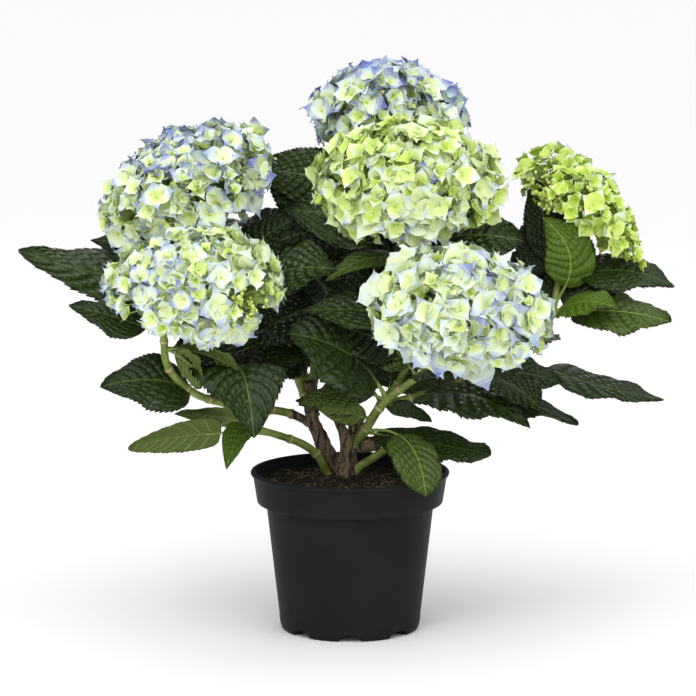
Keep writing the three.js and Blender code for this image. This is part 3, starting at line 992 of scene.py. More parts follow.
@dataclass
class Limb:
    """One tapering limb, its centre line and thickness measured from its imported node.

    The woody share of a green shoot, counted from its foot, already has bark.
    """

    node: str
    wood: Wood
    until: float = 1.0
    rings_mm: float = 26.0
    before_mm: float = 5.0
    after_mm: float = 6.0
    rows: int = 90
    woody: float = 0.0
    ring_keeps: float = 0.93
    scar_mm: float = 0.9
    path: np.ndarray = field(init=False)
    radii: np.ndarray = field(init=False)

    def __post_init__(self) -> None:
        """Measures the node as soon as the limb is named."""
        self.path, self.radii = self.measure()

    def measure(self, levels: int = 22) -> tuple[np.ndarray, np.ndarray]:
        """Slices the node across its longest direction.

        Each slice's centre is the mean of its outline, weighted by length. Its radius is the mean
        distance of the outline from the centre, square to the limb, over the share of it that a
        flat-sided ring keeps. Both are then read again at even distances.

        Args:
            levels: number of slices.
        Returns:
            (rows, 3) centre line and (rows,) radii.
        """
        points, faces = node_mesh(self.node)
        middle = points.mean(axis=0)
        axis = np.linalg.svd(points - middle)[2][0]
        axis = axis * (1 if axis[2] > 0 else -1)
        height = (points - middle) @ axis
        low, high = height.min(), blend(height.min(), height.max(), self.until)
        level = np.linspace(low, high, levels + 2)[1:-1][:, None, None]
        h0, h1 = height[faces], height[np.roll(faces, -1, axis=1)]
        share = (level - h0) / np.where(h1 == h0, 1e-9, h1 - h0)
        hit = (share >= 0) & (share < 1)
        start, end = points[faces], points[np.roll(faces, -1, axis=1)]
        cut = blend(start, end, share[..., None]) * hit[..., None]
        total = cut.sum(axis=2)
        spread = 2 * (cut**2).sum(axis=(2, 3)) - (total**2).sum(axis=-1)
        length = np.sqrt(np.maximum(spread, 0)) * (hit.sum(axis=2) == 2)
        outline = total / 2
        weight = length / length.sum(axis=1, keepdims=True)
        centre = (weight[..., None] * outline).sum(axis=1)
        tangent = unit(np.gradient(centre, axis=0))[:, None]
        away = outline - centre[:, None]
        square = away - (away * tangent).sum(-1, keepdims=True) * tangent
        radius = (weight * np.linalg.norm(square, axis=-1)).sum(axis=1) / self.ring_keeps
        soft = np.array([0.25, 0.5, 0.25])
        centre[1:-1] = sum(soft[i] * centre[i : len(centre) - 2 + i] for i in range(3))
        radius[1:-1] = sum(soft[i] * radius[i : len(radius) - 2 + i] for i in range(3))
        first, last = unit(centre[0] - centre[1]), unit(centre[-1] - centre[-2])
        gap = (high - low) / (levels + 1)
        foot = centre[0] + first * (gap + self.before_mm * MM)
        tip = centre[-1] + last * (gap + self.after_mm * MM)
        place, known = np.linspace(0, 1, self.rows), np.linspace(0, 1, levels + 2)
        thickness = np.interp(place, known, np.pad(radius, 1, mode="edge"))
        return smooth_path(np.concatenate([[foot], centre, [tip]]), self.rows), thickness

    def at(self, share: float) -> np.ndarray:
        """The point at a share of the way from the limb's foot to its tip."""
        return self.path[int(share * (len(self.path) - 1))]

    def distance(self) -> np.ndarray:
        """Distance along the centre line at each row."""
        steps = np.linalg.norm(np.diff(self.path, axis=0), axis=1)
        return np.concatenate([[0], np.cumsum(steps)])

    def relief(self, sides: int, joints: np.ndarray) -> np.ndarray:
        """Radius at every point of the skin.

        Old wood: deep lengthwise furrows, |ripple| raised to 0.6, over slow swelling. Green wood: a
        slightly angular ring, swollen at each joint by a bell curve and pinched just above it.

        Args:
            sides: points round the limb.
            joints: where its joints lie, along it.
        Returns:
            (rows, sides) radii.
        """
        along = self.distance()[:, None]
        around = circle(sides)[None]
        seed = name_seed(self.node)
        if self.wood is Wood.OLD:
            furrow = np.abs(ripples(seed, around, along, (3, 8), (2, 26))) ** 0.6
            flake = ripples(seed + 1, around, along, (2, 9), (50, 130))
            slow = ripples(seed + 2, around, along, (1, 3), (5, 25))
            shape = 0.88 + 0.17 * furrow + 0.05 * flake + 0.07 * slow
        else:
            apart = (along - joints[None]) / (2.4 * MM)
            knot = np.exp(-(apart**2)).sum(axis=1, keepdims=True)
            pinch = np.exp(-((apart - 2.2) ** 2)).sum(axis=1, keepdims=True)
            shape = 1 + 0.22 * knot - 0.05 * pinch + 0.03 * ripples(seed, around, along, (1, 4), (4, 30))
        return self.radii[:, None] * shape

    def joints(self) -> np.ndarray:
        """Where the rings of old leaf scars lie along a green shoot, closer together near its foot.

        Returns:
            Distances from the limb's foot.
        """
        whole = self.distance()[-1]
        number = max(2, int(whole / (self.rings_mm * MM)))
        return whole * (np.linspace(0.07, 0.97, number) ** 1.25)

    def build(self, shell: Shell, slots: dict[Finish, int]) -> None:
        """Adds the limb's skin to a shell, with a pale scar ring at each joint of a green shoot.

        Args:
            shell: the shell.
            slots: slot numbers by finish.
        """
        old = self.wood is Wood.OLD
        sides = 56 if old else 20
        joints = self.joints()
        skin = swept(self.path[None], self.relief(sides, joints)[None], sides)
        rows = np.full(self.rows - 1, slots[BARK if old else RIND])
        if not old:
            middle = (self.distance()[:-1] + self.distance()[1:]) / 2
            ringed = (np.abs(middle[:, None] - joints) < self.scar_mm * MM).any(axis=1)
            rows[ringed] = slots[SCAR]
            rows[: int(self.woody * len(rows))] = slots[BARK]
        shell.add(skin, rows[None, :, None], closed=True)


@dataclass
class PrunedStub:
    """A short, dead, cut-back end on old wood: a cone that narrows to a ragged cut."""

    node: str
    foot: tuple[float, float, float]
    tip: tuple[float, float, float]
    foot_mm: float
    tip_mm: float
    rings: int = 16

    def build(self, shell: Shell, slots: dict[Finish, int]) -> None:
        """Adds the cone with bark relief, and a cut face of two rings sunk into its end.

        Args:
            shell: the shell.
            slots: slot numbers by finish.
        """
        start, end = in_box(self.node, self.foot), in_box(self.node, self.tip)
        share = np.linspace(0, 1, self.rings)
        path = blend(start, end, share[:, None])
        path = path + 1.2 * MM * np.sin(3 * share)[:, None] * np.array([1.0, 0.4, 0.0])
        around = circle(28)[None]
        along = (share * np.linalg.norm(end - start))[:, None]
        ridge = np.abs(ripples(int(1000 * self.tip[0]), around, along, (2, 6), (5, 60))) ** 0.6
        radius = MM * blend(self.foot_mm, self.tip_mm, share)[:, None] * (0.9 + 0.16 * ridge)
        _, first, second = cross_frames(path[None])
        ring = np.cos(around[0])[:, None] * first[0, 0] + np.sin(around[0])[:, None] * second[0, 0]
        for sunk_mm in (0.5, 1.2):
            path = np.concatenate([path, [path[-1] - unit(end - start) * sunk_mm * MM]])
        face = np.array([[0.72], [0.3]]) * radius[-1]
        skin = path[:, None] + np.concatenate([radius, face])[..., None] * ring
        marks = np.repeat([slots[BARK], slots[CUT_WOOD]], [self.rings - 1, 2])
        shell.add(skin, marks[None, :, None], closed=True)


@dataclass
class Framework:
    """All the limbs: two old trunks with their stubs, and the green shoots that carry heads and leaves."""

    limbs: dict[str, Limb] = field(default_factory=dict)
    trunks: tuple[str, ...] = ("trunk_left", "trunk_centre")
    shoots: tuple[str, ...] = (
        "stub_right",
        "stem_lower_left",
        "stem_upper_left",
        "stem_top",
        "shoot_right",
        "stem_centre",
        "stem_far_right",
        "shoot_left",
        "stem_back_left",
        "stem_back_right",
    )
    woody: dict[str, float] = field(default_factory=lambda: {"stem_lower_left": 0.13, "stem_top": 0.12})
    stubs: tuple[PrunedStub, ...] = (
        PrunedStub("trunk_centre", (0.42, 0.5, 0.5), (0.14, 0.36, 0.9), 6.6, 3.9),
        PrunedStub("trunk_centre", (0.5, 0.5, 0.5), (0.6, 0.5, 0.99), 6.0, 3.1),
        PrunedStub("trunk_centre", (0.56, 0.5, 0.5), (0.88, 0.62, 0.92), 6.0, 2.9),
        PrunedStub("trunk_left", (0.3, 0.2, 0.62), (0.02, 0.1, 0.83), 5.4, 3.8),
        PrunedStub("trunk_centre", (0.8, 0.4, 0.5), (1.4, 0.0, 0.55), 8.5, 7.0),
    )

    def measure(self) -> None:
        """Names every limb, which measures it."""
        whole, forked = self.trunks
        self.limbs[whole] = Limb(whole, Wood.OLD, before_mm=0.0, after_mm=0.0)
        self.limbs[forked] = Limb(forked, Wood.OLD, until=0.66, before_mm=0.0, after_mm=2.0)
        for node in self.shoots:
            self.limbs[node] = Limb(node, Wood.GREEN, rows=150, woody=self.woody.get(node, 0.0))

    def build(self, palette: Palette) -> None:
        """Joins old wood and green shoots, each kind apart.

        Args:
            palette: the plant's materials.
        """
        finishes = (BARK, CUT_WOOD)
        wood, slots = Shell(), numbered(finishes)
        for node in self.trunks:
            self.limbs[node].build(wood, slots)
        for stub in self.stubs:
            stub.build(wood, slots)
        deliver(wood.piece("old_wood", palette.of(*finishes)), "bark", *self.trunks)
        finishes = (RIND, SCAR, BARK)
        green, slots = Shell(), numbered(finishes)
        for node in self.shoots:
            self.limbs[node].build(green, slots)
        deliver(green.piece("green_shoots", palette.of(*finishes)), "green_stem", *self.shoots)


# ---- leaves ----
class Tone(Enum):
    """Upper colour of a leaf. The value is its slot in the leaf pieces."""

    BLACK = 0
    DARK = 1
    DEEP = 2
    MID = 3
    FRESH = 4


LEAF_TONES = (LEAF_BLACK, LEAF_DARK, LEAF_DEEP, LEAF_MID, LEAF_FRESH)
LEAF_VEINS = (VEIN_DARK, VEIN_FRESH, RIB_DARK, RIB_FRESH)
LEAF_FINISHES = (*LEAF_TONES, *LEAF_VEINS, UNDER, UNDER_PALE, UNDER_VEIN, STALK)
LEAF_SLOTS = numbered(LEAF_FINISHES)


@dataclass(frozen=True)
class Leaf:
    """One leaf, from the joint of its shoot to its tip.

    The lean tips the upper face towards the front. The sway bows the leaf sideways. The taper is the
    power that narrows the blade to its tip, so a small one gives a blunt leaf, and the heel the power
    that narrows it to its stalk. A pale leaf is lighter beneath.
    """

    bearing: float
    rise: float
    reach_mm: float
    width_mm: float
    arch_mm: float
    lean: float
    tone: Tone = Tone.DEEP
    fold: float = 0.12
    twist: float = 0.0
    stalk: float = 0.18
    wave: float = 1.0
    taper: float = 0.95
    heel: float = 0.55
    pale: bool = False
    sway_mm: float = 0.0


@dataclass(frozen=True)
class BladeMaker:
    """Builds a leaf as a closed skin whose rows follow its side veins.

    The blade lies along a spine. A point is named by u, from 0 at the stalk to 1 at the tip along the
    midrib, and v, from -1 to 1 across. A side vein is a line of one u: it leaves the midrib and
    sweeps forward, so the place along the spine is s = u + sweep 4u(1 - u)|v|^1.3.
    """

    gaps: int = 9
    offsets: tuple[float, ...] = (0.0, 0.06, 0.2, 0.333, 0.39, 0.53, 0.667, 0.72, 0.86)
    columns: tuple[float, ...] = (1.0, 0.86, 0.64, 0.4, 0.16, 0.0)
    sweep: float = 0.25
    quilt_mm: float = 3.8
    tooth: float = 0.075
    teeth_per_gap: int = 3
    thick_mm: float = 0.5
    rib_mm: float = 1.0
    droop: float = 0.35
    margin_mm: float = 3.2
    curl_mm: float = 5.0
    usual_mm: float = 70.0

    def rows(self) -> np.ndarray:
        """u at each row: the same offsets in every gap between side veins, then the tip."""
        start = np.arange(self.gaps)[:, None]
        return np.append(((start + np.array(self.offsets)) / self.gaps).ravel(), 1.0)

    def half_width(self, s: np.ndarray, leaf: Leaf) -> np.ndarray:
        """Ovate outline: s^heel (1 - s)^taper over its largest value.

        Args:
            s: place along the blade.
            leaf: the leaf.
        Returns:
            Shares of its greatest half width.
        """
        peak = leaf.heel / (leaf.heel + leaf.taper)
        full = peak**leaf.heel * (1 - peak) ** leaf.taper
        return np.maximum(s, 0) ** leaf.heel * np.maximum(1 - s, 0) ** leaf.taper / full

    def spine(self, leaf: Leaf, root: np.ndarray, share: np.ndarray, bend: float) -> tuple[np.ndarray, ...]:
        """Points and frames along the leaf.

        The points are root + reach t, plus an arch of 4 arch t(1 - t) upwards and a bend of
        4 bend t(1 - t) sideways. The upper face points up, tipped towards the front by the lean, made
        square to the spine, then rolled by the twist, which grows from the stalk to the tip.

        Args:
            leaf: the leaf.
            root: where its stalk leaves the shoot.
            share: t at each point, 0 at the root and 1 at the tip.
            bend: sideways bend, in metres.
        Returns:
            Points, across and up vectors, each (len(share), 3).
        """
        forward = heading(leaf.bearing, leaf.rise)
        facing = heading(-90, 90 - leaf.lean)
        up = unit(facing - facing @ forward * forward)
        aside = np.cross(forward, up)
        t = share[:, None]
        push = 4 * (leaf.arch_mm * MM * up + bend * aside)
        points = root + forward * leaf.reach_mm * MM * t + push * t * (1 - t)
        tangent = unit(forward * leaf.reach_mm * MM + push * (1 - 2 * t))
        normal = unit(up - (up * tangent).sum(-1, keepdims=True) * tangent)
        across = np.cross(tangent, normal)
        roll = np.radians(leaf.twist) * (t - 0.3)
        turned = across * np.cos(roll) + normal * np.sin(roll)
        return points, turned, np.cross(turned, tangent)

    def across(self) -> tuple[np.ndarray, np.ndarray, int, int]:
        """Columns round the blade: over the top from -1 to 1, then back beneath.

        Returns:
            v of each column, the side of the midrib that a column at its edge is on, the number of
            the column on the midrib above, and that beneath.
        """
        side = np.array(self.columns)
        v = np.concatenate([-side, [0.0], side[::-1], side[1:], [0.0], -side[1:][::-1]])
        above, beneath = len(side), 3 * len(side)
        edge = np.zeros(len(v))
        edge[[above - 1, beneath + 1]] = -1
        edge[[above + 1, beneath - 1]] = 1
        return v, edge, above, beneath

    def skin(self, leaf: Leaf, root: np.ndarray, rng: np.random.Generator, bend: float) -> np.ndarray:
        """The blade's grid of points, wrapped over the upper face and back under it.

        Teeth push the margin out and forward, three to a gap. The height above the spine adds
        cushions between the side veins, |sin(pi u gaps)|^0.7, a fold that lifts both halves, a droop
        with the square of the distance out, waves of the margin, and a curl down at the tip.

        Args:
            leaf: the leaf.
            root: where its stalk leaves the shoot.
            rng: where chance comes from.
            bend: sideways bend, in metres.
        Returns:
            (rows, columns, 3) points.
        """
        v, rib_edge, above, beneath = self.across()
        u, edge = self.rows()[:, None], np.abs(v)
        half, scale = leaf.width_mm * MM / 2, leaf.width_mm / self.usual_mm
        inner = np.sin(np.pi * np.clip(u, 0, 1)) ** 0.5
        saw = (u * self.gaps * self.teeth_per_gap) % 1.0
        peak = np.where(saw < 0.12, 1.0, np.where(saw < 0.3, 0.0, saw))
        tooth = self.tooth * (edge == 1) * inner
        s = u + self.sweep * 4 * u * (1 - u) * edge**1.3
        s = np.clip(s + 0.25 * tooth * peak * (u > 0.05), 0, 1)
        rib = self.rib_mm * MM * scale * (1.05 - 0.85 * s)
        reach = self.half_width(s, leaf) * half * (1 + tooth * (peak - 0.5))
        reach = np.maximum(reach, rib * 1.02)
        y = np.sign(v) * (rib + edge * (reach - rib)) + rib_edge * rib

        phase = rng.uniform(0, 2 * np.pi, 3)
        cushion = np.abs(np.sin(np.pi * u * self.gaps)) ** 0.7 - 0.55
        spread = eased(edge / 0.25) * (1 - 0.5 * edge**2)
        pucker = 0.4 * np.cos(2 * np.pi * (3.2 * edge + 0.5 * np.floor(u * self.gaps + 0.03)))
        height = self.quilt_mm * MM * scale * spread * inner * cushion * (1 + pucker)
        height = height + leaf.fold * np.abs(y) - self.droop * y**2 / half * (0.3 + 0.7 * s)
        flap = np.sin(2 * np.pi * 1.7 * s + np.where(v > 0, phase[0], phase[1]))
        flap = flap + 0.5 * np.sin(2 * np.pi * 3.6 * s + np.where(v > 0, phase[1], phase[2]))
        height = height + self.margin_mm * MM * scale * leaf.wave * flap * edge**2 * inner
        height = height - self.curl_mm * MM * scale * leaf.wave * rng.uniform(0.2, 1.6) * s**3
        column = np.arange(len(v))
        thin = (column > 2 * above) & (edge < 1)
        height = height - thin * self.thick_mm * MM
        height = height - rib * (0.3 * (column == above) + 1.5 * (column == beneath))

        share = leaf.stalk + (1 - leaf.stalk) * s
        parts = self.spine(leaf, root, share.ravel(), bend)
        points, out, normal = (part.reshape(*s.shape, 3) for part in parts)
        return points + out * y[..., None] + normal * height[..., None]

    def chart(self) -> np.ndarray:
        """Places on the blade's map: the count of side veins, and how far out from the midrib.

        Returns:
            (rows, columns, 2) places.
        """
        v = np.abs(self.across()[0])
        count = self.rows()[:, None] * self.gaps
        return np.stack(np.broadcast_arrays(count, v), axis=-1)

    def marks(self, leaf: Leaf) -> np.ndarray:
        """Slots of the quads: skin, a thin line at each side vein, the midrib, and the underside.

        Args:
            leaf: the leaf.
        Returns:
            (rows - 1, columns) slots.
        """
        v, _, above, beneath = self.across()
        fresh = leaf.tone in (Tone.FRESH, Tone.MID)
        under = UNDER_PALE if leaf.pale or leaf.tone is Tone.FRESH else UNDER
        marks = np.full((len(self.rows()) - 1, len(v)), LEAF_SLOTS[under])
        marks[:, : 2 * above] = leaf.tone.value
        vein = np.arange(len(marks)) % len(self.offsets) == 0
        marks[vein, 1 : 2 * above - 1] = LEAF_SLOTS[VEIN_FRESH if fresh else VEIN_DARK]
        marks[vein, 2 * above + 1 :] = LEAF_SLOTS[UNDER_VEIN]
        marks[:, above - 1 : above + 1] = LEAF_SLOTS[RIB_FRESH if fresh else RIB_DARK]
        marks[:, beneath - 1 : beneath + 1] = LEAF_SLOTS[UNDER_VEIN]
        return marks

    def stalk(self, leaf: Leaf, root: np.ndarray, bend: float) -> np.ndarray:
        """The stalk: a tube along the spine, clasping at the shoot, running on under the midrib.

        Args:
            leaf: the leaf.
            root: where the stalk leaves the shoot.
            bend: sideways bend, in metres.
        Returns:
            (1, 9, 8, 3) points.
        """
        points, _, normal = self.spine(leaf, root, np.linspace(0, leaf.stalk + 0.1, 9), bend)
        t = np.linspace(0, 1, 9)
        scale = leaf.width_mm / self.usual_mm
        radius = MM * (0.35 + 0.65 * scale) * (1.3 + 1.5 * (1 - t) ** 4 + 0.35 * (1 - t))
        sunk = points - normal * (0.2 + 1.1 * eased((t - 0.5) / 0.4))[:, None] * MM * scale
        return swept(sunk[None], radius[None], 8)

    def build(self, leaf: Leaf, root: np.ndarray, shell: Shell, rng: np.random.Generator) -> None:
        """Adds a leaf, blade and stalk, to a shell.

        Args:
            leaf: the leaf.
            root: where it leaves the shoot.
            shell: the shell.
            rng: where chance comes from.
        """
        bend = (leaf.sway_mm + 0.03 * leaf.reach_mm * rng.uniform(-1, 1)) * MM
        grid = self.skin(leaf, root, rng, bend)
        shell.add(grid, self.marks(leaf)[None], closed=True, places=self.chart())
        shell.add(self.stalk(leaf, root, bend), LEAF_SLOTS[STALK], closed=True)


@dataclass(frozen=True)
class Spray:
    """The leaves round one joint of a limb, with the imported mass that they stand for, if any.

    The joint's place is a share of the limb's length, from its foot to its tip.
    """

    mass: str
    limb: str
    place: float
    leaves: tuple[Leaf, ...]


def spray(mass: str, limb: str, place: float, *leaves: Leaf) -> Spray:
    """A spray of the leaves named after its place."""
    return Spray(mass, limb, place, leaves)


# The tables name a leaf's tone by a letter. Its first numbers are its bearing, rise, reach, width, arch
# and lean, in degrees and millimetres. A spray that stands for no packed mass starts with "".
K, D, P, M, F = Tone.BLACK, Tone.DARK, Tone.DEEP, Tone.MID, Tone.FRESH

SPRAYS_LEFT = (
    spray(
        "leaves_far_left", "stem_upper_left", 0.68,
        Leaf(-166, 9, 212, 72, -24, 42, P, wave=0.8, taper=0.9), Leaf(-177, 15, 146, 56, 4, 40, K),
    ),
    spray("leaves_left_middle", "stem_lower_left", 1.0, Leaf(-178, 18, 91, 46, 0, 38, D, taper=1.1)),
    spray("leaves_left", "stem_lower_left", 0.7, Leaf(-160, 4, 84, 62, 14, 52, D, fold=0.04, stalk=-0.06)),
    spray(
        "", "stem_lower_left", 0.93,
        Leaf(-24, -38, 54, 42, 6, -44, M, pale=True, taper=0.7),
        Leaf(-7, -15, 74, 46, 6, -44, M, pale=True, taper=0.8), Leaf(18, -8, 66, 44, 6, 40, K),
    ),
    spray(
        "leaves_low_left", "shoot_left", 0.74,
        Leaf(-163, -2, 147, 42, 12, -58, M, stalk=0.36, pale=True, wave=0.2, taper=0.6, heel=0.2),
        Leaf(-178, 13, 101, 46, 8, -34, M, stalk=0.3, pale=True, wave=0.5),
    ),
    spray("leaf_folded_left", "shoot_left", 0.91, Leaf(-114, -16, 82, 30, 14, 0, F, 0.7, twist=30)),
    spray(
        "leaves_front_left", "stem_lower_left", 0.5,
        Leaf(-71, -7, 112, 92, 50, 4, D, taper=0.8, heel=0.4), Leaf(60, 30, 84, 52, 8, 50, K),
    ),
    spray(
        "leaves_middle", "stem_upper_left", 0.555,
        Leaf(-51, 19, 129, 80, 16, 52, P), Leaf(-95, 12, 90, 66, 14, 40, K),
        Leaf(165, 4, 90, 60, 8, 30, D),
    ),
    spray("", "stem_upper_left", 0.3, Leaf(-115, 11, 87, 60, 12, 42, K), Leaf(-20, 8, 74, 54, 10, 40, K)),
    spray("", "stem_top", 0.4, Leaf(-137, -13, 108, 66, 8, 46, D, taper=0.8)),
    spray("", "stem_top", 0.2, Leaf(-149, 0, 78, 54, 10, 50, K)),
    spray("", "stem_upper_left", 0.72, Leaf(30, 43, 84, 50, 8, 45, K), Leaf(-10, 40, 78, 48, 6, 50, D)),
    spray("", "stem_top", 0.25, Leaf(-125, -10, 89, 48, 12, 40, D), Leaf(-70, 24, 62, 46, 8, 50, K)),
    spray("", "stem_top", 0.42, Leaf(-160, -8, 66, 58, 8, 56, K), Leaf(-112, 34, 60, 56, 6, 60, K)),
    spray(
        "leaves_upper", "stem_top", 0.645,
        Leaf(177, 41, 116, 66, 8, 62, D), Leaf(-140, 4, 92, 66, 10, 45, K),
    ),
)
SPRAYS_RIGHT = (
    spray("", "stem_top", 0.82, Leaf(-177, 13, 109, 60, 8, 66, P, taper=0.7)),
    spray(
        "leaves_under_centre", "stem_centre", 0.88,
        Leaf(165, 15, 126, 62, 10, 56, P, taper=0.8), Leaf(-9, 4, 106, 74, 12, 54, P),
        Leaf(120, 20, 80, 56, 10, 20, K),
    ),
    spray(
        "leaves_centre", "stem_centre", 0.495,
        Leaf(-148, 9, 127, 50, 8, 45, P), Leaf(20, 14, 100, 66, 10, 45, P),
    ),
    spray("", "stem_centre", 0.6, Leaf(160, 24, 112, 82, 8, 54, K), Leaf(-170, 4, 88, 70, 8, 50, K)),
    spray("", "stem_centre", 0.8, Leaf(-152, -7, 94, 38, 12, 18, M, fold=0.2, wave=0.8)),
    spray("", "stem_centre", 0.3, Leaf(-158, 22, 101, 62, 10, 46, K), Leaf(150, 12, 86, 62, 8, 40, K)),
    spray(
        "leaves_front_centre", "shoot_right", 0.355,
        Leaf(-141, 35, 139, 92, 14, 44, D, taper=0.8), Leaf(-178, -2, 86, 42, 12, 30, M),
        Leaf(80, 42, 66, 50, 6, 50, K),
    ),
    spray(
        "leaves_mid_right", "shoot_right", 0.56,
        Leaf(147, 37, 64, 52, 6, 40, M), Leaf(-60, 10, 60, 40, 6, 30, P),
    ),
    spray(
        "leaf_pale_centre", "shoot_right", 0.21,
        Leaf(-166, 17, 60, 25, 0, -84, F, pale=True, wave=0.4, stalk=0.1),
        Leaf(167, 14, 78, 34, 6, 24, M),
    ),
    spray(
        "leaves_over_rim", "shoot_right", 0.13,
        Leaf(-34, -2, 142, 60, -2, 24, D, taper=0.7, fold=0.06, stalk=0.08),
        Leaf(-62, -18, 128, 49, 22, 10, M, stalk=0.38, taper=0.55, fold=0.02, sway_mm=-9, heel=0.45),
    ),
    spray(
        "leaves_right_low", "stem_far_right", 0.14,
        Leaf(-35, -5, 132, 74, 16, 18, D, stalk=0.02), Leaf(-13, -6, 160, 62, 12, 16, K),
    ),
    spray("", "stem_far_right", 0.02, Leaf(-28, -13, 54, 24, 4, 30, P, stalk=0.08)),
    spray("", "stem_far_right", 0.36, Leaf(-56, -8, 104, 56, 8, 26, D), Leaf(-28, 2, 92, 52, 8, 30, D)),
    spray(
        "leaves_far_low", "stem_far_right", 0.515,
        Leaf(-15, -13, 148, 42, -10, 26, D, stalk=0.22, wave=1.3), Leaf(75, -2, 110, 62, 14, 0, P),
    ),
    spray(
        "leaves_right_head", "stem_far_right", 0.82,
        Leaf(147, 75, 104, 42, 4, 75, K), Leaf(152, 54, 68, 46, 6, 66, K),
        Leaf(-9, 0, 112, 58, 14, 30, D, wave=0.9), Leaf(100, 24, 96, 58, 10, 0, P),
    ),
    spray("", "stem_far_right", 0.75, Leaf(-106, 61, 98, 52, 2, 74, F, twist=-24, sway_mm=20)),
    spray(
        "leaves_far_right", "stem_far_right", 0.70,
        Leaf(-22, 2, 120, 60, 10, 30, M, wave=1.2, taper=0.75),
        Leaf(-50, 12, 92, 50, 10, 40, F, twist=24), Leaf(8, 34, 84, 54, 8, 44, K),
        Leaf(154, 56, 74, 50, 6, 64, K), Leaf(172, 44, 56, 40, 6, 50, K),
    ),
)
SPRAYS_BACK = (
    spray(
        "leaves_back_left", "stem_back_left", 0.52,
        Leaf(100, -6, 150, 76, 20, 0, P), Leaf(165, 6, 140, 72, 16, 20, P),
    ),
    spray(
        "leaves_back_right", "stem_back_right", 0.62,
        Leaf(98, -8, 142, 74, 20, 0, P), Leaf(22, 4, 140, 72, 16, 20, P),
    ),
    spray(
        "leaves_back_top", "stem_top", 0.47,
        Leaf(65, 18, 132, 72, 14, -20, P), Leaf(128, 14, 128, 70, 14, -20, D),
    ),
    spray("leaves_back_upper_left", "stem_upper_left", 0.79, Leaf(105, 12, 126, 70, 14, -20, P)),
    spray("", "stem_back_left", 0.34, Leaf(62, 8, 112, 62, 14, -6, D), Leaf(176, 10, 116, 60, 14, 10, P)),
    spray("", "stem_back_right", 0.36, Leaf(118, 8, 108, 60, 14, -6, D), Leaf(6, 10, 116, 60, 14, 10, P)),
    spray("", "stem_top", 0.58, Leaf(24, 22, 112, 62, 12, -10, D)),
)


@dataclass
class Foliage:
    """Every leaf of the plant, in three joined pieces, grown from the joints of the shoots.

    The large leaves are named one by one. Young leaves follow a branching rule: a shoot bears them in
    opposite pairs, each pair a right angle round from the one below, and smaller towards the tip.
    A window is the place and size of a gap in the crown, in millimetres across and up the front view,
    where a point goes up by look_down for each step away.
    """

    framework: Framework
    large: BladeMaker = BladeMaker()
    young: BladeMaker = BladeMaker(gaps=6, quilt_mm=2.2)
    young_mm: tuple[float, float] = (86, 118)
    young_tones: tuple[Tone, ...] = (Tone.DARK, Tone.DEEP, Tone.DEEP, Tone.MID)
    look_down: float = 0.155
    back_joints: tuple[float, ...] = (0.34, 0.62, 0.84)
    front_joints: tuple[float, ...] = (0.9,)
    windows: tuple[tuple[float, float, float], ...] = (
        (-72, 421, 26),
        (-95, 262, 24),
        (-54, 185, 24),
        (-18, 185, 20),
        (42, 195, 24),
        (258, 315, 30),
        (232, 350, 12),
        (-230, 274, 16),
    )

    def open_sky(self, leaf: Leaf, root: np.ndarray) -> bool:
        """Whether a leaf would stay out of the windows in the crown, as seen from the front.

        Args:
            leaf: the leaf.
            root: where it leaves the shoot.
        Returns:
            True if no window is covered.
        """
        spots = root + np.outer([0.45, 0.75, 1.0], heading(leaf.bearing, leaf.rise)) * leaf.reach_mm * MM
        across = spots[:, 0] / MM
        height = (spots[:, 2] + self.look_down * spots[:, 1]) / MM
        return all(
            (np.hypot(across - x, height - z) > wide + leaf.width_mm / 2).all()
            for x, z, wide in self.windows
        )

    def pairs(self, limb: Limb, joints: tuple[float, ...], rng: np.random.Generator) -> list[tuple]:
        """Young leaves of a shoot, as leaves with their roots, kept to its back and sides.

        Args:
            limb: the shoot.
            joints: shares of its length with a pair each.
            rng: where chance comes from.
        Returns:
            Pairs of a leaf and its root.
        """
        grown = []
        start = rng.uniform(0, 90)
        for number, share in enumerate(joints):
            root = limb.at(share)
            for side in (0, 180):
                bearing = start + 90 * number + side + rng.normal(0, 14)
                reach = rng.uniform(*self.young_mm) * (1.1 - 0.45 * share)
                leaf = Leaf(
                    bearing,
                    rng.uniform(-4, 26),
                    reach,
                    reach * rng.uniform(0.52, 0.64),
                    reach * 0.14,
                    -14 + 24 * float(np.sin(np.radians(bearing)) < 0.3),
                    self.young_tones[rng.choice(len(self.young_tones))],
                    twist=rng.normal(0, 12),
                    wave=rng.uniform(0.8, 1.6),
                )
                behind = np.sin(np.radians(bearing)) > -0.25
                if behind and self.open_sky(leaf, root):
                    grown.append((leaf, root))
        return grown

    def grow(self, name: str, sprays: tuple[Spray, ...], shoots: tuple[str, ...], palette: Palette) -> None:
        """Builds the leaves of some sprays, and the young leaves of some shoots, as one piece.

        Args:
            name: the piece's name.
            sprays: the sprays of large leaves.
            shoots: shoots that bear young leaves.
            palette: the plant's materials.
        """
        rng = np.random.default_rng(SEED + len(name))
        shell = Shell()
        for bunch in sprays:
            root = self.framework.limbs[bunch.limb].at(bunch.place)
            for leaf in bunch.leaves:
                self.large.build(leaf, root, shell, rng)
        for shoot in shoots:
            joints = self.back_joints if "back" in name else self.front_joints
            for leaf, root in self.pairs(self.framework.limbs[shoot], joints, rng):
                self.young.build(leaf, root, shell, rng)
        piece = shell.piece(name, palette.of(*LEAF_FINISHES))
        deliver(piece, "leaf", *(bunch.mass for bunch in sprays if bunch.mass))

    def build(self, palette: Palette) -> None:
        """Builds the left, right and back leaves.

        Args:
            palette: the plant's materials.
        """
        self.grow("leaves_of_left_side", SPRAYS_LEFT, ("stem_lower_left", "stem_upper_left"), palette)
        self.grow("leaves_of_right_side", SPRAYS_RIGHT, ("shoot_right", "stem_centre"), palette)
        backs = ("stem_back_left", "stem_back_right", "stem_top", "stem_far_right", "stem_upper_left")
        self.grow("leaves_of_back", SPRAYS_BACK, backs, palette)


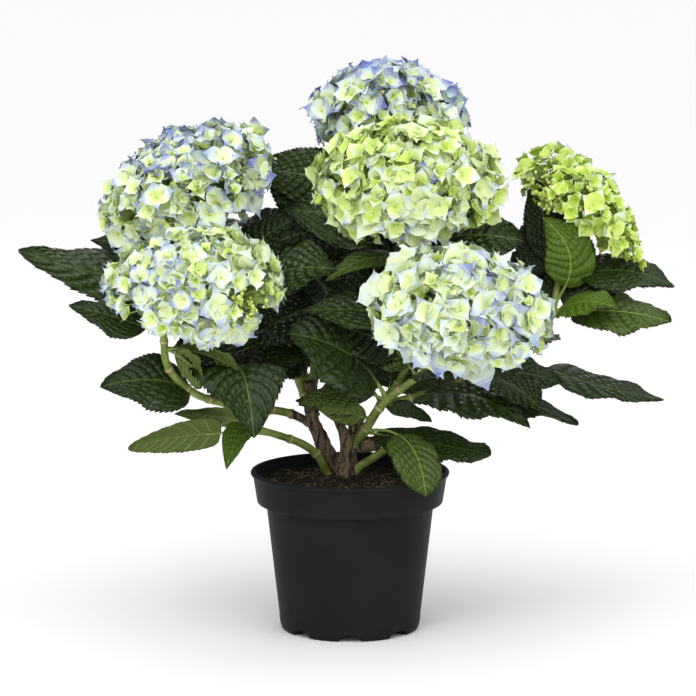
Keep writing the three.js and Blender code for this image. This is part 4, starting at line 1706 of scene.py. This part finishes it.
# ---- flower heads ----
HEAD_FINISHES = (*SEPALS, BUD, EYE, PEDICEL)
HEAD_SLOTS = numbered(HEAD_FINISHES)


@dataclass(frozen=True)
class Truss:
    """One mophead: which node and shoot it belongs to, how open it is and how blue it has turned.

    Lime and blue are places on the row of sepal tints: of an open floret's claw, and of its tip.
    """

    node: str
    shoot: str
    slot: str
    span_mm: float
    spacing_mm: float
    blue: float
    lime: float
    tip_from: float = 0.3
    bud_side: tuple[float, float, float] = (0.0, 0.0, -1.0)
    bud_angle: float = 0.0
    bud_share: float = 0.03
    blue_side: tuple[float, float, float] = (0.0, 0.0, 1.0)
    blue_lean: float = 1.2
    lowest: float = -0.45
    sag_mm: float = 0.0
    shift_mm: tuple[float, float, float] = (0.0, 0.0, 0.0)


# A truss's first numbers are the span and spacing of its florets in millimetres, its blue, its lime and
# the share of a sepal where the colour of the tip starts.
TRUSSES = (
    Truss(
        "head_top", "stem_top", "florets_blue", 31, 14.6, 11.6, 4.4, 0.1,
        blue_side=(0, 0.3, 1), shift_mm=(0, 0, -3),
    ),
    Truss(
        "head_centre", "stem_centre", "florets_lime", 30, 14.2, 7.8, 3.7, 0.4,
        blue_side=(0.2, -0.3, -0.9), lowest=-0.68, shift_mm=(-1, 0, -7),
    ),
    Truss(
        "head_upper_left", "stem_upper_left", "florets_cream", 28, 13.7, 10.3, 4.2, 0.2,
        blue_side=(-0.1, 0.3, 1), blue_lean=2.2, shift_mm=(-3, 0, -4),
    ),
    Truss(
        "head_lower_left", "stem_lower_left", "florets_cream", 28, 13.7, 9.9, 4.3, 0.25,
        bud_side=(0.8, -0.58, -0.2), bud_angle=18,
        blue_side=(-0.7, -0.2, -0.6), blue_lean=2.0, lowest=-0.6, shift_mm=(1, 0, 0),
    ),
    Truss(
        "head_lower_right", "shoot_right", "florets_cream", 33, 14.9, 9.0, 4.7, 0.25,
        blue_side=(0.7, -0.3, -0.5), blue_lean=1.6,
    ),
    Truss(
        "head_far_right", "stem_far_right", "florets_lime", 23, 15.0, 6.2, 1.9, 0.45,
        bud_side=(-0.8, -0.5, 0.2), bud_angle=26, bud_share=0.08, sag_mm=30, shift_mm=(0, 0, -1),
    ),
    Truss("head_back_left", "stem_back_left", "florets_lime", 30, 16.5, 7.4, 3.4, 0.4),
    Truss("head_back_right", "stem_back_right", "florets_cream", 31, 16.5, 9.4, 4.2, 0.25),
)


@dataclass(frozen=True)
class Sepals:
    """Many sepals, each a small curved sheet from its claw to its point.

    A sepal leaves its floret's centre along out, at the angle open_at above the plane that the
    floret's facing is square to, and turns steadily to open_to at its tip, so its midline is an arc.
    Across, it is a trough, of depth cup |v|^1.4 in half widths, and its margin waves by the ruffle.
    Angles are in radians. The point is the power that narrows the tip.
    """

    centre: np.ndarray
    out: np.ndarray
    facing: np.ndarray
    length: np.ndarray
    width: np.ndarray
    open_at: np.ndarray
    open_to: np.ndarray
    cup: np.ndarray
    point: np.ndarray
    ruffle: np.ndarray

    def half_widths(self, s: np.ndarray) -> np.ndarray:
        """Half width at each row: s^0.8 (1 - s)^point over its peak, never quite shut.

        Args:
            s: place of each row, 0 to 1.
        Returns:
            (n, rows) half widths.
        """
        point = self.point[:, None]
        peak = 0.8 / (0.8 + point)
        shape = s**0.8 * (1 - s) ** point / (peak**0.8 * (1 - peak) ** point)
        return np.maximum(shape, 0.04) * (self.width / 2)[:, None]

    def sheets(self, rows: tuple[float, ...], columns: tuple[float, ...]) -> np.ndarray:
        """Points of each sepal, (n, rows, columns, 3).

        Args:
            rows: s of each row, from 0 at the claw to 1 at the tip.
            columns: v of each column, from -1 to 1 across.
        Returns:
            The grids of points.
        """
        s, v = np.array(rows)[None], np.array(columns)
        start = self.open_at[:, None]
        turn = (self.open_to - self.open_at)[:, None]
        turn = np.where(np.abs(turn) < 0.05, -0.05, turn)
        angle = start + turn * s
        away = ((np.sin(angle) - np.sin(start)) / turn)[..., None, None]
        lift = ((np.cos(start) - np.cos(angle)) / turn)[..., None, None]
        half = self.half_widths(s)[..., None]
        out, facing = self.out[:, None, None], self.facing[:, None, None]
        steep = angle[..., None, None]
        upright = np.cos(steep) * facing - np.sin(steep) * out
        middle = self.length[:, None, None, None] * (away * out + lift * facing)
        wave = 0.3 * np.sin(2 * np.pi * (1.3 * s + self.ruffle[:, None]))[..., None] * v**3
        bend = half * (self.cup[:, None, None] * np.abs(v) ** 1.4 + wave)
        side = (half * v)[..., None] * np.cross(facing, out)
        return self.centre[:, None, None] + middle + side + bend[..., None] * upright


@dataclass
class FlowerHead:
    """A mophead of four-sepalled florets on branching stalks, filling its packed dome."""

    truss: Truss
    limb: Limb
    open_rows: tuple[float, ...] = (0.0, 0.13, 0.28, 0.43, 0.57, 0.71, 0.85, 1.0)
    young_rows: tuple[float, ...] = (0.0, 0.32, 0.68, 1.0)
    columns: tuple[float, ...] = (-1.0, 0.0, 1.0)
    inner_depth: float = 0.8
    inner_share: float = 0.75
    packing: float = 0.87
    fork_mm: float = 12.0
    rays: int = 26
    ray_share: float = 0.52
    shell: Shell = field(default_factory=Shell)
    rng: np.random.Generator = field(init=False)
    centre: np.ndarray = field(init=False)
    radius: float = field(init=False)
    entry: np.ndarray = field(init=False)
    upward: np.ndarray = field(init=False)

    def __post_init__(self) -> None:
        """Finds the middle and mean radius of the dome, and where and which way the shoot enters it."""
        low, high = corners(self.truss.node)
        self.rng = np.random.default_rng(SEED + name_seed(self.truss.node))
        self.centre = (low + high) / 2
        self.radius = np.linalg.norm(high - low) / np.sqrt(3) / 2
        self.entry = self.limb.path[-1]
        self.upward = unit(self.centre + np.array([0, 0, 0.01]) - self.entry)

    def hits(self, ways: np.ndarray) -> np.ndarray:
        """Distance from the middle, along each direction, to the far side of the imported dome.

        Each direction is tried against each triangle: the crossing's distance is the triangle's
        plane distance over the slope, kept where both of its edge shares are inside the triangle.

        Args:
            ways: (n, 3) unit vectors.
        Returns:
            A distance for each.
        """
        points, faces = node_mesh(self.truss.node)
        a, b, c = (points[faces[:, i]] for i in range(3))
        one, two = b - a, c - a
        side = np.cross(ways[:, None], two[None])
        slope = (one * side).sum(-1)
        slope = np.where(np.abs(slope) < 1e-12, 1e-12, slope)
        origin = self.centre - a
        first = (origin * side).sum(-1) / slope
        turned = np.cross(origin, one)
        second = (ways[:, None] * turned).sum(-1) / slope
        reach = (two * turned).sum(-1) / slope
        good = (first >= -1e-6) & (second >= -1e-6) & (first + second <= 1 + 1e-6) & (reach > 0)
        return np.where(good, reach, 0).max(axis=1)

    def build(self, palette: Palette) -> None:
        """Makes two layers of florets, as many as their spacing allows, and joins them to the shoot.

        Args:
            palette: the plant's materials.
        """
        room = self.packing * (self.truss.spacing_mm * MM) ** 2
        number = int(4 * np.pi * self.radius**2 / room)
        outer = self.spread(number, 1.0)
        inner = self.spread(int(number * self.inner_share), self.inner_depth)
        self.florets(outer, self.open_rows, 1.0)
        self.florets(inner, self.young_rows, 0.4)
        self.stalks(np.concatenate([outer[0], inner[0]]))
        piece = self.shell.piece(self.truss.node.replace("head_", "mophead_"), palette.of(*HEAD_FINISHES))
        deliver(piece, self.truss.slot, self.truss.node)

    def spread(self, number: int, depth: float) -> tuple[np.ndarray, np.ndarray, np.ndarray]:
        """Florets over the dome at a share of its depth: their centres, facings and directions.

        Even directions, shaken a little, are followed out to the dome. Each floret then sits back by
        0.3 of its span and some millimetres of chance, so the outline is ragged. Where the head
        sags, florets sink with the square of their distance past its middle.

        Args:
            number: how many directions.
            depth: share of the dome's depth.
        Returns:
            Centres, facings and directions, (n, 3) each.
        """
        truss, rng = self.truss, self.rng
        spin = np.linalg.qr(rng.normal(size=(3, 3)))[0]
        ways = fibonacci(number)
        ways = unit(ways @ spin + rng.normal(scale=0.06, size=ways.shape))
        ways = ways[ways @ self.upward > truss.lowest + rng.uniform(-0.1, 0.1, len(ways))]
        reach = self.hits(ways)
        inset = truss.span_mm * 0.3 + rng.uniform(-5.5, 7.5, len(ways))
        shift = np.array(truss.shift_mm) * MM
        places = self.centre + ways * (reach * depth - inset * MM)[:, None] + shift
        past = np.maximum(places[:, 0] - self.centre[0], -0.02) / 0.06
        places[:, 2] -= truss.sag_mm * MM * np.sign(past) * past**2
        facing = unit(ways + 0.2 * self.upward + rng.normal(scale=0.36, size=ways.shape))
        return places, facing, ways

    def florets(self, spread: tuple[np.ndarray, ...], rows: tuple[float, ...], oldest: float) -> None:
        """Adds four sepals and an eye for each floret, and round buds where the head is unopened.

        Age, 0 to 1, opens a floret: its sepals start steep and end nearly flat, grow, and turn from
        lime to the head's blue towards their tips.

        Args:
            spread: centres, facings and directions of the florets.
            rows: rows of each sepal.
            oldest: the greatest age.
        """
        truss, rng = self.truss, self.rng
        places, facing, ways = spread
        closed = ways @ unit(np.array(truss.bud_side)) > np.cos(np.radians(truss.bud_angle))
        bud = (closed & (truss.bud_angle > 0)) | (rng.uniform(size=len(places)) < truss.bud_share)
        self.buds(places[bud])
        places, facing, ways = places[~bud], facing[~bud], ways[~bud]
        number = len(places)
        age = np.clip(rng.normal(0.5, 0.28, number), 0, 1) * oldest
        span = truss.span_mm * MM * blend(0.66, 1.28, age)
        base = truss.lime * blend(0.45, 1.15, age) + rng.normal(0, 0.35, number)
        side = ways @ unit(np.array(truss.blue_side, float))
        tip = truss.blue * blend(0.6, 1.1, age) + truss.blue_lean * side + rng.normal(0, 1.2, number)

        first = unit(np.cross(facing, rng.normal(size=facing.shape)))
        second = np.cross(facing, first)
        quarter = (np.arange(4) * np.pi / 2 + rng.normal(0, 0.13, (number, 4)))[..., None]
        out = np.cos(quarter) * first[:, None] + np.sin(quarter) * second[:, None]
        many = number * 4
        pair = np.tile([1.0, 0.9, 1.0, 0.9], number)
        length = np.repeat(span, 4) / 2 * pair * rng.uniform(1.0, 1.34, many)
        steep = np.repeat(blend(66.0, 26.0, age) + rng.normal(0, 8, number), 4) + rng.normal(0, 8, many)
        flare = np.repeat(blend(34.0, -14.0, age), 4) + rng.normal(0, 15, many)
        sepals = Sepals(
            centre=np.repeat(places, 4, axis=0),
            out=out.reshape(-1, 3),
            facing=np.repeat(facing, 4, axis=0),
            length=length,
            width=length * rng.uniform(0.86, 1.14, many),
            open_at=np.radians(steep),
            open_to=np.radians(flare),
            cup=rng.uniform(0.05, 0.35, many),
            point=rng.uniform(1.3, 2.2, many),
            ruffle=rng.uniform(0, 1, many),
        )
        middle = (np.array(rows[:-1]) + np.array(rows[1:]))[:, None] / 2
        start = truss.tip_from + rng.normal(0, 0.06, (many, 1, 1))
        share = eased((middle - start) / (0.9 - start))
        tint = blend(np.repeat(base, 4)[:, None, None], np.repeat(tip, 4)[:, None, None], share)
        tint = tint + rng.normal(0, 0.1, (many, len(middle), len(self.columns) - 1))
        tint = np.clip(np.rint(tint), 0, len(SEPALS) - 1).astype(int)
        self.shell.add(sepals.sheets(rows, self.columns), tint)
        self.eyes(places, (first, second, facing), blend(0.9, 1.3, age))

    def eyes(self, places: np.ndarray, axes: tuple[np.ndarray, ...], size: np.ndarray) -> None:
        """Adds the bead at each floret's centre: three rings of six points, shut at both ends.

        Args:
            places: the florets' centres.
            axes: two directions across each floret, and its facing.
            size: size of each bead, 1 being usual.
        """
        first, second, facing = axes
        ring = np.array([[1.0, 0.2], [0.95, 1.3], [0.35, 2.1]]) * MM
        turn = circle(6)[:, None]
        spokes = np.cos(turn) * first[:, None] + np.sin(turn) * second[:, None]
        wide, high = ring[:, 0, None, None], ring[:, 1, None, None]
        bead = wide * spokes[:, None] + high * facing[:, None, None]
        grid = places[:, None, None] + size[:, None, None, None] * bead
        self.shell.add(grid, HEAD_SLOTS[EYE], closed=True)

    def buds(self, places: np.ndarray) -> None:
        """Adds clusters of unopened buds: four to a place, each a ball of 5 by 6 points.

        Args:
            places: middles of the clusters.
        """
        if not len(places):
            return
        scatter = self.rng.normal(scale=3.4 * MM, size=(4 * len(places), 3))
        places = np.repeat(places, 4, axis=0) + scatter
        size = self.rng.uniform(1.4, 2.6, (len(places), 1, 1, 1)) * MM
        grid = places[:, None, None] + round_ball(5, 6, 0.2) * size
        self.shell.add(grid, HEAD_SLOTS[BUD], closed=True)

    def tubes(
        self, curves: tuple[np.ndarray, ...], thick_mm: tuple[float, float], rows: int, sides: int
    ) -> None:
        """Adds tapering stalks along quadratic curves, each given by its start, its bend and its end.

        Args:
            curves: starts, bends and ends.
            thick_mm: radius at the start and at the end.
            rows: points along a stalk.
            sides: points round it.
        """
        t = np.linspace(0, 1, rows)[:, None]
        paths = quadratic(*(points[:, None] for points in curves), t)
        radii = np.tile(blend(*thick_mm, t[:, 0]) * MM, (len(paths), 1))
        self.shell.add(swept(paths, radii, sides), HEAD_SLOTS[PEDICEL], closed=True)

    def stalks(self, florets: np.ndarray) -> None:
        """Branches the shoot into rays, and each ray into the stalks of the florets nearest to it.

        Rays fan out from the shoot's tip to the middles of groups of florets.

        Args:
            florets: the florets' centres.
        """
        ways = fibonacci(self.rays)
        ways = ways[ways @ self.upward > 0.1]
        middle = florets.mean(axis=0)
        groups = middle + ways * np.linalg.norm(florets - middle, axis=1).mean()
        pick = np.argmin(np.linalg.norm(florets[:, None] - groups[None], axis=-1), axis=1)
        fork = self.entry + self.upward * self.fork_mm * MM
        ends = blend(fork, groups, self.ray_share)
        start = (self.entry - self.upward * 4 * MM)[None]
        self.tubes((start, blend(fork, ends, 0.15), ends), (2.3, 1.3), rows=7, sides=6)
        base = ends[pick]
        gap = np.linalg.norm(florets - base, axis=1)[:, None]
        chance = self.rng.normal(scale=1.5 * MM, size=base.shape)
        bend = base + unit(base - fork) * gap * 0.4 + chance
        self.tubes((base, bend, florets), (0.85, 0.6), rows=5, sides=4)


# ---- the studio ----
@dataclass
class Studio:
    """Pale floor, soft light and a long lens a little above the level of the plant."""

    distance: float = 3.2
    elevation: float = 8.9
    frame_width: float = 0.6612
    aim: tuple[float, float, float] = (-0.0019, 0.0, 0.2706)
    sensor_mm: float = 36.0
    floor: str = "f6f6f6"
    window: tuple[float, float] = (-93, 50)
    shade: float = 0.3
    bright: float = 1.44

    def build(self) -> None:
        """Sets the floor, the world, the lights and the camera."""
        scene = bpy.context.scene
        scene.view_settings.view_transform = "Standard"
        self.ground()
        self.world(scene)
        self.lamp("key", (-0.7, -1.8, 2.1), 0.8, 10)
        self.lamp("fill", (1.7, -1.2, 1.1), 1.4, 4)
        self.lamp("back", (0.4, 1.8, 1.7), 1.2, 8)
        self.camera(scene)

    def ground(self) -> None:
        """A wide flat floor just under the pot, reaching past the top of the camera's view."""
        side = np.linspace(-30, 30, 3)
        x, y = np.meshgrid(side, side)
        shell = Shell()
        shell.add(np.stack([x, y, 0 * x - 0.2 * MM], axis=-1))
        paper = Finish("studio_paper_white", self.floor, 0.9, 1.3)
        shell.piece("studio_floor", [paper.material()])

    def world(self, scene: bpy.types.Scene) -> None:
        """Soft white light from all round, brightest from above in front, before a white backdrop.

        Strength = shade + bright max(0, c), with c the cosine from the brightest direction. The
        camera itself sees a strength of 1 beyond the floor.

        Args:
            scene: the scene.
        """
        world = bpy.data.worlds.new("studio")
        scene.world = world
        world.use_nodes = True
        tree = world.node_tree
        way = add_node(tree, "ShaderNodeTexCoord").outputs["Generated"]
        aim = {0: way, 1: heading(*self.window)}
        cosine = add_node(tree, "ShaderNodeVectorMath", aim, operation="DOT_PRODUCT").outputs["Value"]
        span = {"Value": cosine, "To Min": self.shade, "To Max": self.shade + self.bright}
        glow = add_node(tree, "ShaderNodeMapRange", span).outputs[0]
        seen = add_node(tree, "ShaderNodeLightPath").outputs["Is Camera Ray"]
        choice = {0: seen, 2: glow, 3: 1.0}
        strength = add_node(tree, "ShaderNodeMix", choice).outputs[0]
        tree.links.new(strength, tree.nodes["Background"].inputs["Strength"])
        tree.nodes["Background"].inputs["Color"].default_value = (1, 1, 1, 1)

    def lamp(self, name: str, place: tuple[float, float, float], size: float, watts: float) -> None:
        """A square soft lamp that faces the middle of the plant.

        Args:
            name: the lamp's name.
            place: where it stands.
            size: its side, in metres.
            watts: its power.
        """
        light = bpy.data.lights.new(name, "AREA")
        light.energy, light.size = watts, size
        lamp = bpy.data.objects.new(name, light)
        lamp.location = place
        lamp.rotation_euler = (Vector(self.aim) - Vector(place)).to_track_quat("-Z", "Y").to_euler()
        bpy.context.scene.collection.objects.link(lamp)

    def camera(self, scene: bpy.types.Scene) -> None:
        """A camera on the -Y side. Its lens covers frame_width at the distance of the aim.

        Args:
            scene: the scene.
        """
        lens = bpy.data.cameras.new("camera")
        lens.sensor_width = self.sensor_mm
        lens.lens = self.sensor_mm * self.distance / self.frame_width
        camera = bpy.data.objects.new("camera", lens)
        lift = np.radians(self.elevation)
        away = self.distance * np.array([0, -np.cos(lift), np.sin(lift)])
        camera.location = np.array(self.aim) + away
        camera.rotation_euler = (np.pi / 2 - lift, 0, 0)
        scene.collection.objects.link(camera)
        scene.camera = camera


def main() -> None:
    """Builds the plant from the pot up, then the studio round it."""
    logging.basicConfig(level=logging.INFO, format="%(name)s: %(message)s")
    palette = Palette()
    Studio().build()
    Pot().build(palette)
    Compost().build(palette)
    framework = Framework()
    framework.measure()
    framework.build(palette)
    Foliage(framework).build(palette)
    for truss in TRUSSES:
        FlowerHead(truss, framework.limbs[truss.shoot]).build(palette)


if __name__ == "__main__":
    main()
